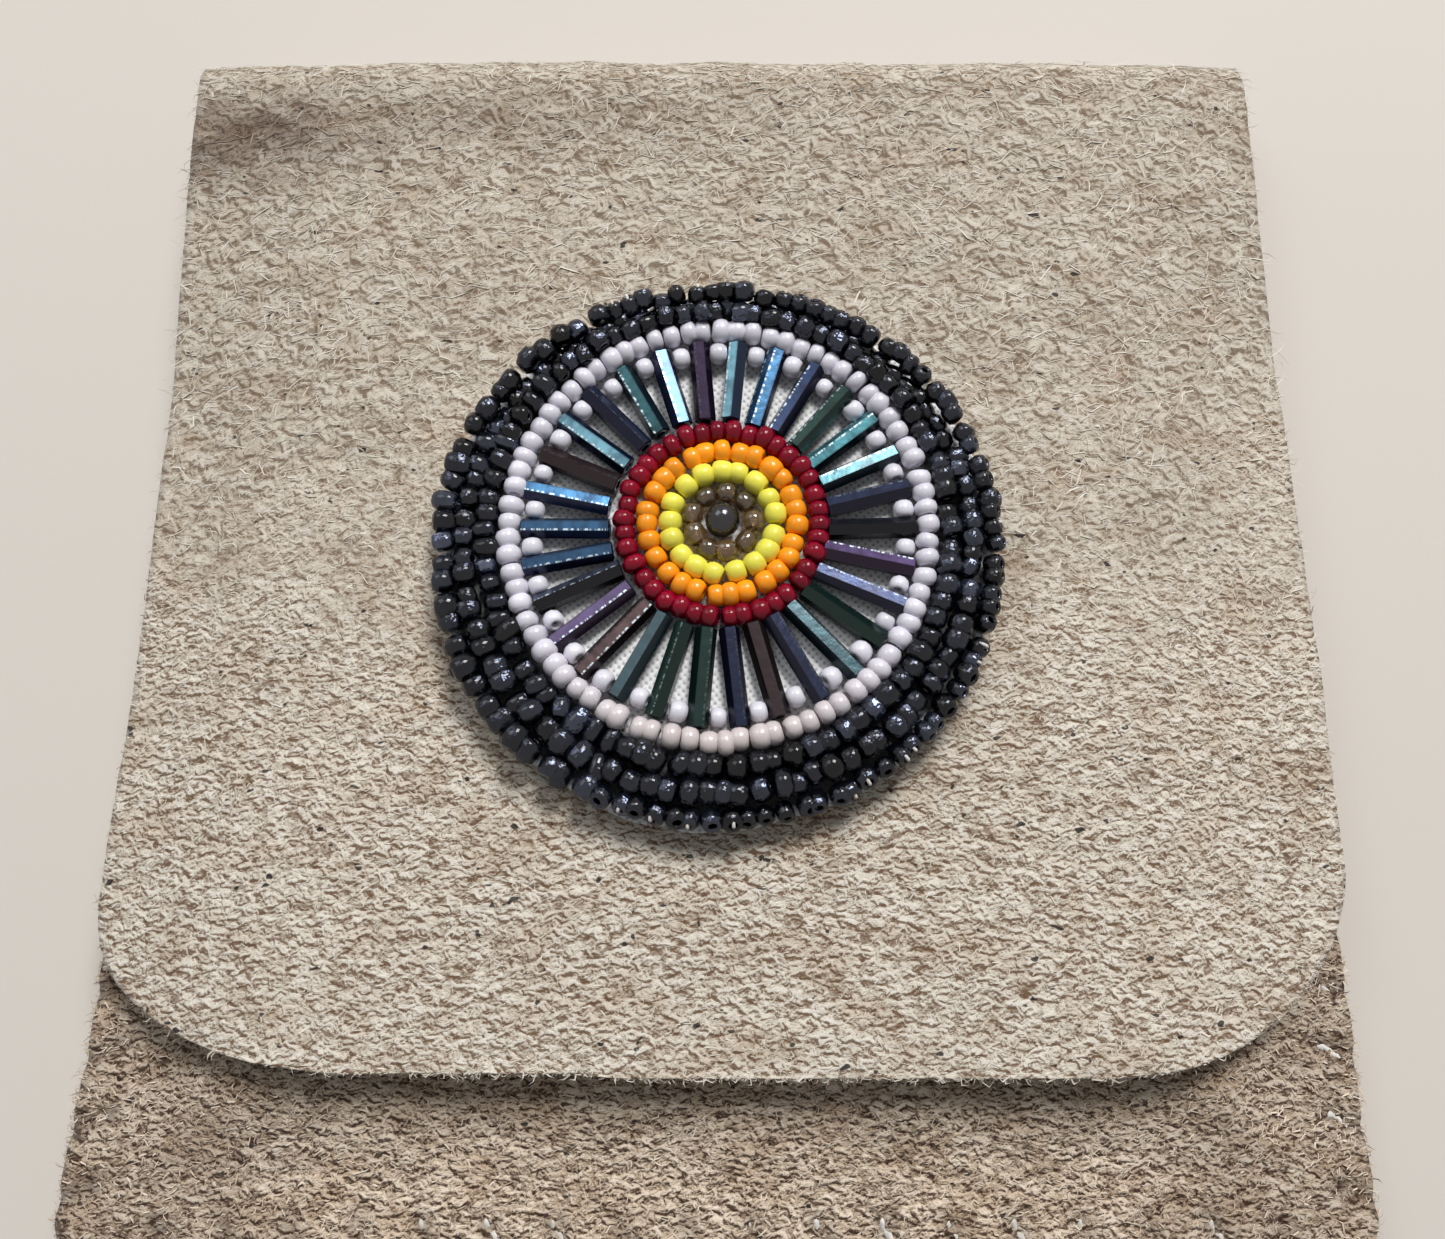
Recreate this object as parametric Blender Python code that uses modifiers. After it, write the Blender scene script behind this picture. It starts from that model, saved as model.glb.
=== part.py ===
"""Beaded medicine bag: a small stitched hide pouch, lying on its back, with a bead rosette on its flap.

Metres, +Z up. X runs across the bag, +Y towards the fold, and the origin is the middle of the underside.
The back, the fold and the flap are one hide. They are three solids here, because the flap turns on
the fold.
"""

import math

import bmesh
import bpy
from mathutils import Vector

MM = 0.001
TAU = 2.0 * math.pi

# Driving sizes of the hide
HIDE = 1.4 * MM
POUCH_WIDTH = 102.0 * MM
TAPER = 2.0 * MM
WAIST_LEFT = 1.25 * MM
POUCH_LENGTH = 99.8 * MM
BOTTOM_CORNER = 3.0 * MM
MOUTH_SETBACK = 0.65 * MM
FLAP_LENGTH = 86.1 * MM
FLAP_SHORT_LEFT = 0.5 * MM
FLAP_SHORT_RIGHT = 0.0 * MM
FLAP_CORNER_LEFT = (22.5 * MM, 12.5 * MM)
FLAP_CORNER_RIGHT = (21.0 * MM, 17.0 * MM)
FOLD_REACH = 4.05 * MM
GAP = 0.3 * MM

# Heights
SEAM_LIFT = 1.2 * MM
CAVITY = 5.0 * MM
FLAP_CLEARANCE = 0.3 * MM
FLAP_DROOP = 2.5 * MM
SEAM_MARGIN = 5.0 * MM
LIFT_RUN = 8.0 * MM
PUFF_RUN = 15.0 * MM
CLOSER_ROWS = 1.6

# Whip stitches
THREAD = 0.7 * MM
SEAM_INSET = 2.6 * MM
STITCH_PITCH = 5.2 * MM
HOLE = 1.5 * MM
LOOP_CLEARANCE = 0.25 * MM

# Rosette
ROSETTE_X = 0.1 * MM
ROSETTE_DROP = 43.7 * MM
FLOWER_SHIFT = (0.35 * MM, 0.5 * MM)
BACKING = 0.8 * MM
BACKING_TRIM = 0.3 * MM
BEAD_SEAT = 0.3 * MM
CENTRE_BEAD = 2.9 * MM
BEAD_HOLE = 0.8 * MM
BEAD_WAIST = 0.72
SMOKY_COUNT, SMOKY_WIDTH = 9, 1.55 * MM
SMOKY_LENGTH, SMOKY_HOLE = 1.24 * MM, 0.6 * MM
SMOKY_CLEARANCE = 0.325 * MM
YELLOW_COUNT, YELLOW_WIDTH, YELLOW_CLEARANCE = 17, 1.68 * MM, 0.165 * MM
ORANGE_COUNT, ORANGE_WIDTH, ORANGE_CLEARANCE = 27, 1.68 * MM, 0.12 * MM
RED_COUNT, RED_WIDTH, RED_CLEARANCE = 38, 1.68 * MM, 0.13 * MM
BUGLE_COUNT, BUGLE_LENGTH, BUGLE_WIDTH = 30, 6.4 * MM, 1.55 * MM
BUGLE_CLEARANCE = 0.62 * MM
BUGLE_HOLE = 0.8 * MM
BUGLE_TURN = math.radians(6.0)
DOT_WIDTH, DOT_CLEARANCE, DOT_RISE = 1.5 * MM, 0.18 * MM, 0.63 * MM
PEARL_COUNT, PEARL_WIDTH, PEARL_CLEARANCE = 77, 2.0 * MM, 0.23 * MM
PEARL_STRETCH = 0.43 * MM
BORDER_COUNTS = (80, 86, 92)
BORDER_SHARES = (1 / 6, 3 / 6, 5 / 6)
BORDER_WIDTH = 1.55 * MM
BORDER_SIDE, BORDER_TOP, BORDER_BOTTOM = 5.2 * MM, 2.6 * MM, 6.0 * MM
BORDER_RISE = 1.45 * MM

# Where things lie, from the sizes above; the rosette's rings follow one another from its centre outwards
HALF = POUCH_WIDTH / 2
LOOP_REACH = THREAD + LOOP_CLEARANCE
BACK_TOP = (POUCH_LENGTH + LOOP_REACH - FOLD_REACH - HIDE / 2) / 2
BOTTOM = BACK_TOP - POUCH_LENGTH
MOUTH = BACK_TOP - MOUTH_SETBACK
FLAP_END = BACK_TOP - FLAP_LENGTH
ROSETTE_Y = BACK_TOP - ROSETTE_DROP
FLOWER_X = ROSETTE_X + FLOWER_SHIFT[0]
FLOWER_Y = ROSETTE_Y + FLOWER_SHIFT[1]
BACK_MID = HIDE / 2
FRONT_EDGE_MID = BACK_MID + SEAM_LIFT + HIDE + GAP
FRONT_MID = BACK_MID + HIDE + CAVITY
FLAP_MID = FRONT_MID + HIDE + FLAP_CLEARANCE
FLAP_TOP = FLAP_MID + HIDE / 2
BACKING_BASE = FLAP_TOP + GAP
BEAD_BASE = BACKING_BASE + BACKING + BEAD_SEAT
SMOKY_RADIUS = CENTRE_BEAD / 2 + SMOKY_CLEARANCE + SMOKY_WIDTH / 2
YELLOW_RADIUS = SMOKY_RADIUS + SMOKY_WIDTH / 2 + YELLOW_CLEARANCE + YELLOW_WIDTH / 2
ORANGE_RADIUS = YELLOW_RADIUS + YELLOW_WIDTH / 2 + ORANGE_CLEARANCE + ORANGE_WIDTH / 2
RED_RADIUS = ORANGE_RADIUS + ORANGE_WIDTH / 2 + RED_CLEARANCE + RED_WIDTH / 2
BUGLE_START = RED_RADIUS + RED_WIDTH / 2 + BUGLE_CLEARANCE
PEARL_RADIUS_X = BUGLE_START + BUGLE_LENGTH + PEARL_CLEARANCE + PEARL_WIDTH / 2
PEARL_RADIUS_Y = PEARL_RADIUS_X + PEARL_STRETCH
DOT_RADIUS = PEARL_RADIUS_X - PEARL_WIDTH / 2 - DOT_CLEARANCE - DOT_WIDTH / 2


def border_row(share):
    """Centre Y and the two radii of an oval that lies this share of the way across the black border."""
    centre_y = ROSETTE_Y + share * (BORDER_TOP - BORDER_BOTTOM) / 2
    radius_x = PEARL_RADIUS_X + PEARL_WIDTH / 2 + share * BORDER_SIDE
    radius_y = PEARL_RADIUS_Y + PEARL_WIDTH / 2 + share * (BORDER_TOP + BORDER_BOTTOM) / 2
    return centre_y, (radius_x, radius_y)


def smooth(value):
    """0 below 0, 1 above 1 and an even S between them."""
    held = min(max(value, 0.0), 1.0)
    return held * held * (3.0 - 2.0 * held)


def half_at(y):
    """Half width of the pouch at y: it narrows evenly from the bottom to the fold."""
    return HALF - TAPER * (y - BOTTOM) / POUCH_LENGTH


def left_at(y):
    """How far the left edge is from the middle at y: it was cut a little hollow between its two ends."""
    return half_at(y) - WAIST_LEFT * math.sin(math.pi * (y - BOTTOM) / POUCH_LENGTH)


def edge_distance(x, y):
    """How far a point of the pouch is from its nearest sewn edge."""
    return min(left_at(y) + x, half_at(y) - x, y - BOTTOM)


def back_height(x, y):
    """Middle of the back's hide: on the ground inside, lifted along the sewn edges."""
    return BACK_MID + SEAM_LIFT * (1.0 - smooth((edge_distance(x, y) - SEAM_MARGIN) / LIFT_RUN))


def front_height(x, y):
    """Middle of the front's hide: flat along the sewn edges and full inside them."""
    rise = smooth((edge_distance(x, y) - SEAM_MARGIN) / PUFF_RUN)
    return FRONT_EDGE_MID + (FRONT_MID - FRONT_EDGE_MID) * rise


def flap_height(x, y):
    """Middle of the flap's hide: flat over the pouch, sinking along its two sides below the fold."""
    side = smooth((abs(x) - 0.62 * HALF) / (0.38 * HALF))
    below_fold = 0.4 + 0.6 * smooth((BACK_TOP - y) / (0.3 * POUCH_LENGTH))
    return FLAP_MID - FLAP_DROOP * side * below_fold


def material(name, colour, roughness, metallic=0.0):
    """A plain Principled finish."""
    made = bpy.data.materials.new(name)
    made.use_nodes = True
    shader = made.node_tree.nodes["Principled BSDF"]
    shader.inputs["Base Color"].default_value = (*colour, 1.0)
    shader.inputs["Roughness"].default_value = roughness
    shader.inputs["Metallic"].default_value = metallic
    return made


def add(name, mesh, finish, collection):
    """A new object in a collection, with its own material."""
    thing = bpy.data.objects.new(name, mesh)
    if finish is not None:
        mesh.materials.append(finish)
    collection.objects.link(thing)
    return thing


def hide_sheet(name, columns, rows, place, finish, collection):
    """A grid laid out by place(across, along), both 0 to 1, given the hide's thickness."""
    bm = bmesh.new()
    bmesh.ops.create_grid(bm, x_segments=columns, y_segments=rows, size=0.5)
    for vert in bm.verts:
        vert.co = Vector(place(vert.co.x + 0.5, vert.co.y + 0.5))
    bmesh.ops.recalc_face_normals(bm, faces=bm.faces)
    mesh = bpy.data.meshes.new(name)
    bm.to_mesh(mesh)
    bm.free()
    mesh.shade_smooth()
    thing = add(name, mesh, finish, collection)
    wall = thing.modifiers.new("hide", "SOLIDIFY")
    wall.thickness = HIDE
    wall.offset = 0.0
    return thing


def rounded_half_width(y, end, half, corner):
    """Half width at y of an outline whose end has elliptical corners, corner = (across, along)."""
    across, along = corner
    rise = min(max((end + along - y) / along, 0.0), 1.0)
    return half - across * (1.0 - math.sqrt(1.0 - rise * rise))


def stitch_places(length):
    """Evenly spaced stitches along a seam, about the named pitch apart."""
    count = max(2, round(length / STITCH_PITCH))
    return [length * (index + 0.5) / count for index in range(count)]


def seam_points():
    """The holes of each seam: name, list of (x, y) holes, and the outward direction."""
    side_run = MOUTH - BOTTOM - SEAM_INSET
    heights = [MOUTH - place for place in stitch_places(side_run)]
    bottom_run = POUCH_WIDTH - 4.0 * SEAM_INSET
    across = [2.0 * SEAM_INSET - HALF + place for place in stitch_places(bottom_run)]
    left = [(SEAM_INSET - left_at(y), y) for y in heights]
    right = [(half_at(y) - SEAM_INSET, y) for y in heights]
    return [
        ("seam_thread_left", left, (-1.0, 0.0)),
        ("seam_thread_right", right, (1.0, 0.0)),
        ("seam_thread_bottom", [(x, BOTTOM + SEAM_INSET) for x in across], (0.0, -1.0)),
    ]


def hole_cutter(collection):
    """Square awl holes through both panels at every stitch, as one cutter."""
    bm = bmesh.new()
    for _, holes, _ in seam_points():
        for x, y in holes:
            made = bmesh.ops.create_cone(
                bm,
                cap_ends=True,
                segments=4,
                radius1=HOLE / 2 * math.sqrt(2.0),
                radius2=HOLE / 2 * math.sqrt(2.0),
                depth=4.0 * FRONT_MID,
            )
            bmesh.ops.translate(bm, verts=made["verts"], vec=(x, y, FRONT_MID))
    mesh = bpy.data.meshes.new("stitch_holes")
    bm.to_mesh(mesh)
    bm.free()
    cutter = add("stitch_holes", mesh, None, collection)
    cutter.hide_render = True
    cutter.display_type = "WIRE"
    return cutter


def cut(thing, cutter):
    """Takes the cutter out of a solid."""
    boolean = thing.modifiers.new("stitch_holes", "BOOLEAN")
    boolean.operation = "DIFFERENCE"
    boolean.object = cutter


def seam_thread(name, holes, outward, finish, collection):
    """One whip-stitched thread: up through each hole, over the top, round the edge and back below."""
    radius = THREAD / 2
    ox, oy = outward
    out = SEAM_INSET + LOOP_REACH - radius
    top = FRONT_EDGE_MID + HIDE / 2 + radius + LOOP_CLEARANCE
    low = SEAM_LIFT - radius - LOOP_CLEARANCE
    points = []
    for index, (x, y) in enumerate(holes):
        following = holes[min(index + 1, len(holes) - 1)]
        previous = holes[max(index - 1, 0)]
        step = Vector(following) - Vector(previous)
        step = step.normalized() * STITCH_PITCH * 0.25
        points.append((x, y, low))
        points.append((x, y, top))
        points.append((x + ox * out + step.x, y + oy * out + step.y, top))
        points.append((x + ox * out + 2 * step.x, y + oy * out + 2 * step.y, low))
    curve = bpy.data.curves.new(name, "CURVE")
    curve.dimensions = "3D"
    curve.bevel_depth = radius
    curve.bevel_resolution = 0
    curve.use_fill_caps = True
    spline = curve.splines.new("POLY")
    spline.points.add(len(points) - 1)
    for point, place in zip(spline.points, points):
        point.co = (*place, 1.0)
    return add(name, curve, finish, collection)


def strung_ring(name, count, width, centre, radii, height, finish, collection, rise=None):
    """Beads on their thread round an oval: a tube, fat at each bead and thin between, closed on itself."""
    rows, sides = 2 * count, 4
    bm = bmesh.new()
    loops = []
    for row in range(rows):
        angle = TAU * row / rows
        outward = Vector((math.cos(angle), math.sin(angle), 0.0))
        lift = rise(angle) if rise else 0.0
        x, y = centre[0] + radii[0] * outward.x, centre[1] + radii[1] * outward.y
        middle = Vector((x, y, height + lift))
        section = width / 2 * (1.0 if row % 2 == 0 else BEAD_WAIST)
        loop = []
        for side in range(sides):
            turn = TAU * side / sides
            offset = outward * math.cos(turn) + Vector((0.0, 0.0, math.sin(turn)))
            loop.append(bm.verts.new(middle + offset * section))
        loops.append(loop)
    for row in range(rows):
        here, there = loops[row], loops[(row + 1) % rows]
        for side in range(sides):
            after = (side + 1) % sides
            bm.faces.new((here[side], here[after], there[after], there[side]))
    bmesh.ops.recalc_face_normals(bm, faces=bm.faces)
    mesh = bpy.data.meshes.new(name)
    bm.to_mesh(mesh)
    bm.free()
    mesh.shade_smooth()
    return add(name, mesh, finish, collection)


def holed_bead(name, width, length, hole, sides, finish, collection, rounding=0.0):
    """A bead with its hole: a closed profile spun about Z. Rounding is the share of its length that its
    shoulders take."""
    outer, inner, half = width / 2, hole / 2, length / 2
    shoulder = half * (1.0 - rounding)
    profile = [(outer, shoulder), (outer, -shoulder), (inner, -half), (inner, half)]
    if rounding:
        rim = (inner + outer) / 2
        profile.insert(0, (rim, half))
        profile.insert(3, (rim, -half))
    bm = bmesh.new()
    corners = [bm.verts.new((radius, 0.0, z)) for radius, z in profile]
    edges = [bm.edges.new((corner, corners[i - 1])) for i, corner in enumerate(corners)]
    axis, middle = (0.0, 0.0, 1.0), (0.0, 0.0, 0.0)
    bmesh.ops.spin(
        bm, geom=corners + edges, cent=middle, axis=axis, angle=TAU, steps=sides, use_merge=True
    )
    bmesh.ops.recalc_face_normals(bm, faces=bm.faces)
    mesh = bpy.data.meshes.new(name)
    bm.to_mesh(mesh)
    bm.free()
    mesh.set_sharp_from_angle(angle=math.radians(40.0))
    return add(name, mesh, finish, collection)


def build_hide(collection, cutters):
    """Back, fold, flap and front, all of the same hide, with stitch holes in back and front."""
    flap_hide = material("flap_hide", (0.49, 0.43, 0.31), 0.95)
    pouch_hide = material("pouch_hide", (0.38, 0.28, 0.17), 0.95)
    corner = (BOTTOM_CORNER, BOTTOM_CORNER)

    def panel(top, height):
        def place(across, along):
            y = BOTTOM + (top - BOTTOM) * along**CLOSER_ROWS
            left = rounded_half_width(y, BOTTOM, left_at(y), corner)
            right = rounded_half_width(y, BOTTOM, half_at(y), corner)
            x = -left + (left + right) * across
            return x, y, height(x, y)

        return place

    def flap_place(across, along):
        start = BACK_TOP - GAP
        y = FLAP_END + (start - FLAP_END) * along**CLOSER_ROWS
        left = rounded_half_width(y, FLAP_END, left_at(y) - FLAP_SHORT_LEFT, FLAP_CORNER_LEFT)
        right = rounded_half_width(y, FLAP_END, half_at(y) - FLAP_SHORT_RIGHT, FLAP_CORNER_RIGHT)
        x = -left + (left + right) * across
        return x, y, flap_height(x, y)

    def fold_place(across, along):
        left = half_at(BACK_TOP) - FLAP_SHORT_LEFT * along
        right = half_at(BACK_TOP) - FLAP_SHORT_RIGHT * along
        x = -left + (left + right) * across
        low, high = back_height(x, BACK_TOP), flap_height(x, BACK_TOP)
        turn = math.pi * (along - 0.5)
        y = BACK_TOP + FOLD_REACH * math.cos(turn)
        return x, y, (low + high) / 2 + (high - low) / 2 * math.sin(turn)

    cutter = hole_cutter(cutters)
    back = hide_sheet("back_panel", 18, 14, panel(BACK_TOP - GAP, back_height), pouch_hide, collection)
    front = hide_sheet("front_panel", 18, 16, panel(MOUTH, front_height), pouch_hide, collection)
    for piece in (back, front):
        cut(piece, cutter)
    hide_sheet("flap", 16, 22, flap_place, flap_hide, collection)
    hide_sheet("flap_fold", 16, 8, fold_place, flap_hide, collection)


def build_seams(collection):
    """The three whip-stitched threads that hold front and back together."""
    for name, holes, outward in seam_points():
        seam_thread(name, holes, outward, material(name, (0.78, 0.77, 0.74), 0.8), collection)


def round_place(radius, angle, height, centre):
    """A point on a circle about a centre."""
    return centre[0] + radius * math.cos(angle), centre[1] + radius * math.sin(angle), height


def build_backing(collection):
    """The stitched fabric disc, with the single pearl beads between the bugle ends sewn fast to it."""
    finish = material("rosette_backing", (0.58, 0.56, 0.53), 0.9)
    bm = bmesh.new()
    centre_y, (radius, _) = border_row(BORDER_SHARES[-1])
    radius += BORDER_WIDTH / 2 - BACKING_TRIM
    made = bmesh.ops.create_cone(
        bm, cap_ends=True, segments=48, radius1=radius, radius2=radius, depth=BACKING
    )
    centre = (ROSETTE_X, centre_y, BACKING_BASE + BACKING / 2)
    bmesh.ops.translate(bm, verts=made["verts"], vec=centre)
    mesh = bpy.data.meshes.new("rosette_backing")
    bm.to_mesh(mesh)
    bm.free()
    backing = add("rosette_backing", mesh, finish, collection)
    bm = bmesh.new()
    for index in range(BUGLE_COUNT):
        angle = math.pi / 2 - BUGLE_TURN - TAU * (index + 0.5) / BUGLE_COUNT
        made = bmesh.ops.create_uvsphere(bm, u_segments=6, v_segments=3, radius=DOT_WIDTH / 2)
        height = BACKING_BASE + BACKING + DOT_RISE
        place = round_place(DOT_RADIUS, angle, height, (ROSETTE_X, ROSETTE_Y))
        bmesh.ops.translate(bm, verts=made["verts"], vec=place)
    mesh = bpy.data.meshes.new("pearl_dots")
    bm.to_mesh(mesh)
    bm.free()
    dots = add("pearl_dots", mesh, None, collection)
    dots.hide_render = True
    dots.display_type = "WIRE"
    join = backing.modifiers.new("pearl_dots", "BOOLEAN")
    join.operation = "UNION"
    join.object = dots


def build_flower(collection):
    """Centre bead, nine smoky beads and three strung rings."""
    centre = (FLOWER_X, FLOWER_Y)
    gunmetal = material("centre_bead", (0.05, 0.045, 0.04), 0.2, 0.8)
    size = (CENTRE_BEAD, CENTRE_BEAD, BEAD_HOLE)
    centre_bead = holed_bead("centre_bead", *size, 8, gunmetal, collection, 0.6)
    centre_bead.location = (*centre, BEAD_BASE + CENTRE_BEAD / 2)
    for index in range(SMOKY_COUNT):
        angle = TAU * index / SMOKY_COUNT
        name = f"smoky_bead_{index + 1}"
        finish = material(name, (0.16, 0.15, 0.13), 0.15)
        bead = holed_bead(name, SMOKY_WIDTH, SMOKY_LENGTH, SMOKY_HOLE, 5, finish, collection)
        bead.location = round_place(SMOKY_RADIUS, angle, BEAD_BASE + SMOKY_WIDTH / 2, centre)
        bead.rotation_euler = (0.0, math.pi / 2, angle + math.pi / 2)
    rings = (
        ("yellow_bead_ring", YELLOW_COUNT, YELLOW_RADIUS, YELLOW_WIDTH, (0.83, 0.77, 0.05), 0.3),
        ("orange_bead_ring", ORANGE_COUNT, ORANGE_RADIUS, ORANGE_WIDTH, (1.0, 0.32, 0.01), 0.25),
        ("red_bead_ring", RED_COUNT, RED_RADIUS, RED_WIDTH, (0.25, 0.003, 0.02), 0.12),
    )
    for name, count, radius, width, colour, roughness in rings:
        finish = material(name, colour, roughness)
        strung_ring(name, count, width, centre, (radius, radius), BEAD_BASE + width / 2, finish, collection)


def build_rays(collection):
    """Thirty six-sided bugle tubes laid like rays."""
    for index in range(BUGLE_COUNT):
        angle = math.pi / 2 - BUGLE_TURN - TAU * index / BUGLE_COUNT
        name = f"bugle_{index + 1:02d}"
        finish = material(name, (0.01, 0.02, 0.05), 0.15, 0.6)
        bugle = holed_bead(name, BUGLE_WIDTH, BUGLE_LENGTH, BUGLE_HOLE, 6, finish, collection)
        radius = BUGLE_START + BUGLE_LENGTH / 2
        bugle.location = round_place(radius, angle, BEAD_BASE + BUGLE_WIDTH / 2, (ROSETTE_X, ROSETTE_Y))
        bugle.rotation_euler = (0.0, math.pi / 2, angle)


def build_border(collection):
    """The oval pearl ring and the three black rows, squeezed at the top, where two of them ride up."""
    pearl = material("pearl_bead_ring", (0.66, 0.57, 0.59), 0.2)
    centre = (ROSETTE_X, ROSETTE_Y)
    radii = (PEARL_RADIUS_X, PEARL_RADIUS_Y)
    height = BEAD_BASE + PEARL_WIDTH / 2
    strung_ring("pearl_bead_ring", PEARL_COUNT, PEARL_WIDTH, centre, radii, height, pearl, collection)
    names = ("black_bead_row_inner", "black_bead_row_middle", "black_bead_row_edging")
    for name, count, share in zip(names, BORDER_COUNTS, BORDER_SHARES):
        centre_y, radii = border_row(share)
        centre = (ROSETTE_X, centre_y)
        lift = 0.0 if name.endswith("middle") else BORDER_RISE

        def rise(angle, most=lift):
            return most * smooth(math.sin(angle) + 0.2)

        finish = material(name, (0.016, 0.018, 0.024), 0.18, 0.4)
        height = BEAD_BASE + BORDER_WIDTH / 2
        strung_ring(name, count, BORDER_WIDTH, centre, radii, height, finish, collection, rise)


def main():
    for thing in list(bpy.data.objects):
        bpy.data.objects.remove(thing)
    parts = bpy.data.collections.new("beaded_medicine_bag")
    cutters = bpy.data.collections.new("cutters")
    for collection in (parts, cutters):
        bpy.context.scene.collection.children.link(collection)
    build_hide(parts, cutters)
    build_seams(parts)
    build_backing(parts)
    build_flower(parts)
    build_rays(parts)
    build_border(parts)


main()
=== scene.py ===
"""Looks of the beaded medicine bag: napped hide, sewn edges and the bead rosette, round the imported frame."""

import math

import bpy
import numpy as np
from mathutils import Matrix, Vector


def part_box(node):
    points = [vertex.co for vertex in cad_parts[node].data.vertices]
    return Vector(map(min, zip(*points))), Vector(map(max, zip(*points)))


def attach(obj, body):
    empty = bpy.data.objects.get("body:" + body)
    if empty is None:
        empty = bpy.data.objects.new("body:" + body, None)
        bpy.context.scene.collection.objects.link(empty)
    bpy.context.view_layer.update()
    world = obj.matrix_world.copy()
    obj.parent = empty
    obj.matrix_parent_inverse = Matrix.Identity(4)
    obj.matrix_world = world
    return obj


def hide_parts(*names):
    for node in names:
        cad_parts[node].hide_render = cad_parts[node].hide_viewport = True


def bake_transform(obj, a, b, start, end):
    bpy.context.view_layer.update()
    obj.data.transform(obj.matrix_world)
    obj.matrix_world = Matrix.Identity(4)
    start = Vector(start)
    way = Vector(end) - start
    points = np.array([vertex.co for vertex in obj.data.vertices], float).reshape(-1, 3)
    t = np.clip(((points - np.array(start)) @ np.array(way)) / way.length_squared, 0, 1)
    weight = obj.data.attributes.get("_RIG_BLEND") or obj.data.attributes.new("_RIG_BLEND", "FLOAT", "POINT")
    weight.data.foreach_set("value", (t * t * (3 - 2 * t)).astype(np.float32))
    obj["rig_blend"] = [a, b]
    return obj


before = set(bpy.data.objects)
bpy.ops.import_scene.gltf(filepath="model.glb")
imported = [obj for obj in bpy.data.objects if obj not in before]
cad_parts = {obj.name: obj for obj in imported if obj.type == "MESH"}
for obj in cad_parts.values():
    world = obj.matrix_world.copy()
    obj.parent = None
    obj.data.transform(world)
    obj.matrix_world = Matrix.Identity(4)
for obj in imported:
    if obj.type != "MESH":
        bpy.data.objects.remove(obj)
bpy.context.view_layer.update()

MM = 0.001
TAU = 2.0 * math.pi


def corner(node):
    """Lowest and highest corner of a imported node, in millimetres."""
    low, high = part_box(node)
    return np.array(low) / MM, np.array(high) / MM


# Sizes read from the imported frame, in millimetres
BACK_LOW, BACK_HIGH = corner("back_panel")
FLAP_LOW, FLAP_HIGH = corner("flap")
FRONT_HIGH, FOLD_HIGH = corner("front_panel")[1], corner("flap_fold")[1]
HALF = 51.0
TAPER = 2.0
WAIST_LEFT = 1.25
SHORT_LEFT, SHORT_RIGHT = 0.5, 0.0
BOTTOM = BACK_LOW[1]
MOUTH = FRONT_HIGH[1]
FLAP_END = FLAP_LOW[1]

# Sizes of the hide, as it was cut and sewn, in millimetres
HIDE = 1.4
GAP = 0.3
BACK_TOP = BACK_HIGH[1] + GAP
FOLD_REACH = FOLD_HIGH[1] - BACK_TOP - HIDE / 2
CORNER_LEFT = (22.5, 12.5)
CORNER_RIGHT = (21.0, 17.0)
CORNER_POUCH = (3.0, 3.0)
SEAM_LIFT = 1.2
SEAM_MARGIN = 5.0
LIFT_RUN = 8.0
PUFF_RUN = 15.0
FLAP_DROOP = 2.5
KNIFE_WANDER = 0.16
BACK_MID = HIDE / 2
FRONT_EDGE_MID = BACK_MID + SEAM_LIFT + HIDE + GAP
FRONT_MID = FRONT_HIGH[2] - HIDE / 2
FLAP_MID = FLAP_HIGH[2] - HIDE / 2
POUCH_LENGTH = BACK_TOP - BOTTOM

# Whip stitches, in millimetres
THREAD = 0.62
SEAM_INSET = 2.6
STITCH_PITCH = 5.2

# Rosette, in millimetres
ROSETTE_X = 0.1
ROSETTE_Y = BACK_TOP - 43.7
FLOWER_X, FLOWER_Y = ROSETTE_X + 0.35, ROSETTE_Y + 0.5
BEAD_BASE = corner("yellow_bead_ring")[0][2]


def smooth(value):
    """0 below 0, 1 above 1 and an even S between them."""
    held = np.clip(value, 0.0, 1.0)
    return held * held * (3.0 - 2.0 * held)


def between(first, second, share):
    """The value at share, 0 to 1, on the straight way from the first to the second."""
    return first * (1 - share) + second * share


def half_at(y):
    """Half width of the pouch, which narrows evenly from the bottom to the fold."""
    return HALF - TAPER * (y - BOTTOM) / POUCH_LENGTH


def left_at(y):
    """Distance of the left edge from the middle, hollow between its two ends."""
    return half_at(y) - WAIST_LEFT * np.sin(math.pi * (y - BOTTOM) / POUCH_LENGTH)


def edge_distance(x, y):
    """Distance of points of the pouch from their nearest sewn edge."""
    return np.minimum(np.minimum(left_at(y) + x, half_at(y) - x), y - BOTTOM)


def back_height(x, y):
    """Middle of the back's hide: on the ground inside, lifted along the sewn edges."""
    return BACK_MID + SEAM_LIFT * (1.0 - smooth((edge_distance(x, y) - SEAM_MARGIN) / LIFT_RUN))


def front_height(x, y):
    """Middle of the front's hide: flat along the sewn edges and full inside them."""
    rise = smooth((edge_distance(x, y) - SEAM_MARGIN) / PUFF_RUN)
    return FRONT_EDGE_MID + (FRONT_MID - FRONT_EDGE_MID) * rise


def flap_height(x, y):
    """Middle of the flap's hide: flat over the pouch, sinking along its two sides below the fold."""
    side = smooth((np.abs(x) - 0.62 * HALF) / (0.38 * HALF))
    below_fold = 0.4 + 0.6 * smooth((BACK_TOP - y) / (0.3 * POUCH_LENGTH))
    return FLAP_MID - FLAP_DROOP * side * below_fold


def half_width(y, end, half, corner_size):
    """Half width at y of an outline whose end has elliptical corners."""
    across, along = corner_size
    rise = np.clip((end + along - y) / along, 0.0, 1.0)
    return half - across * (1.0 - np.sqrt(1.0 - rise * rise))


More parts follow.
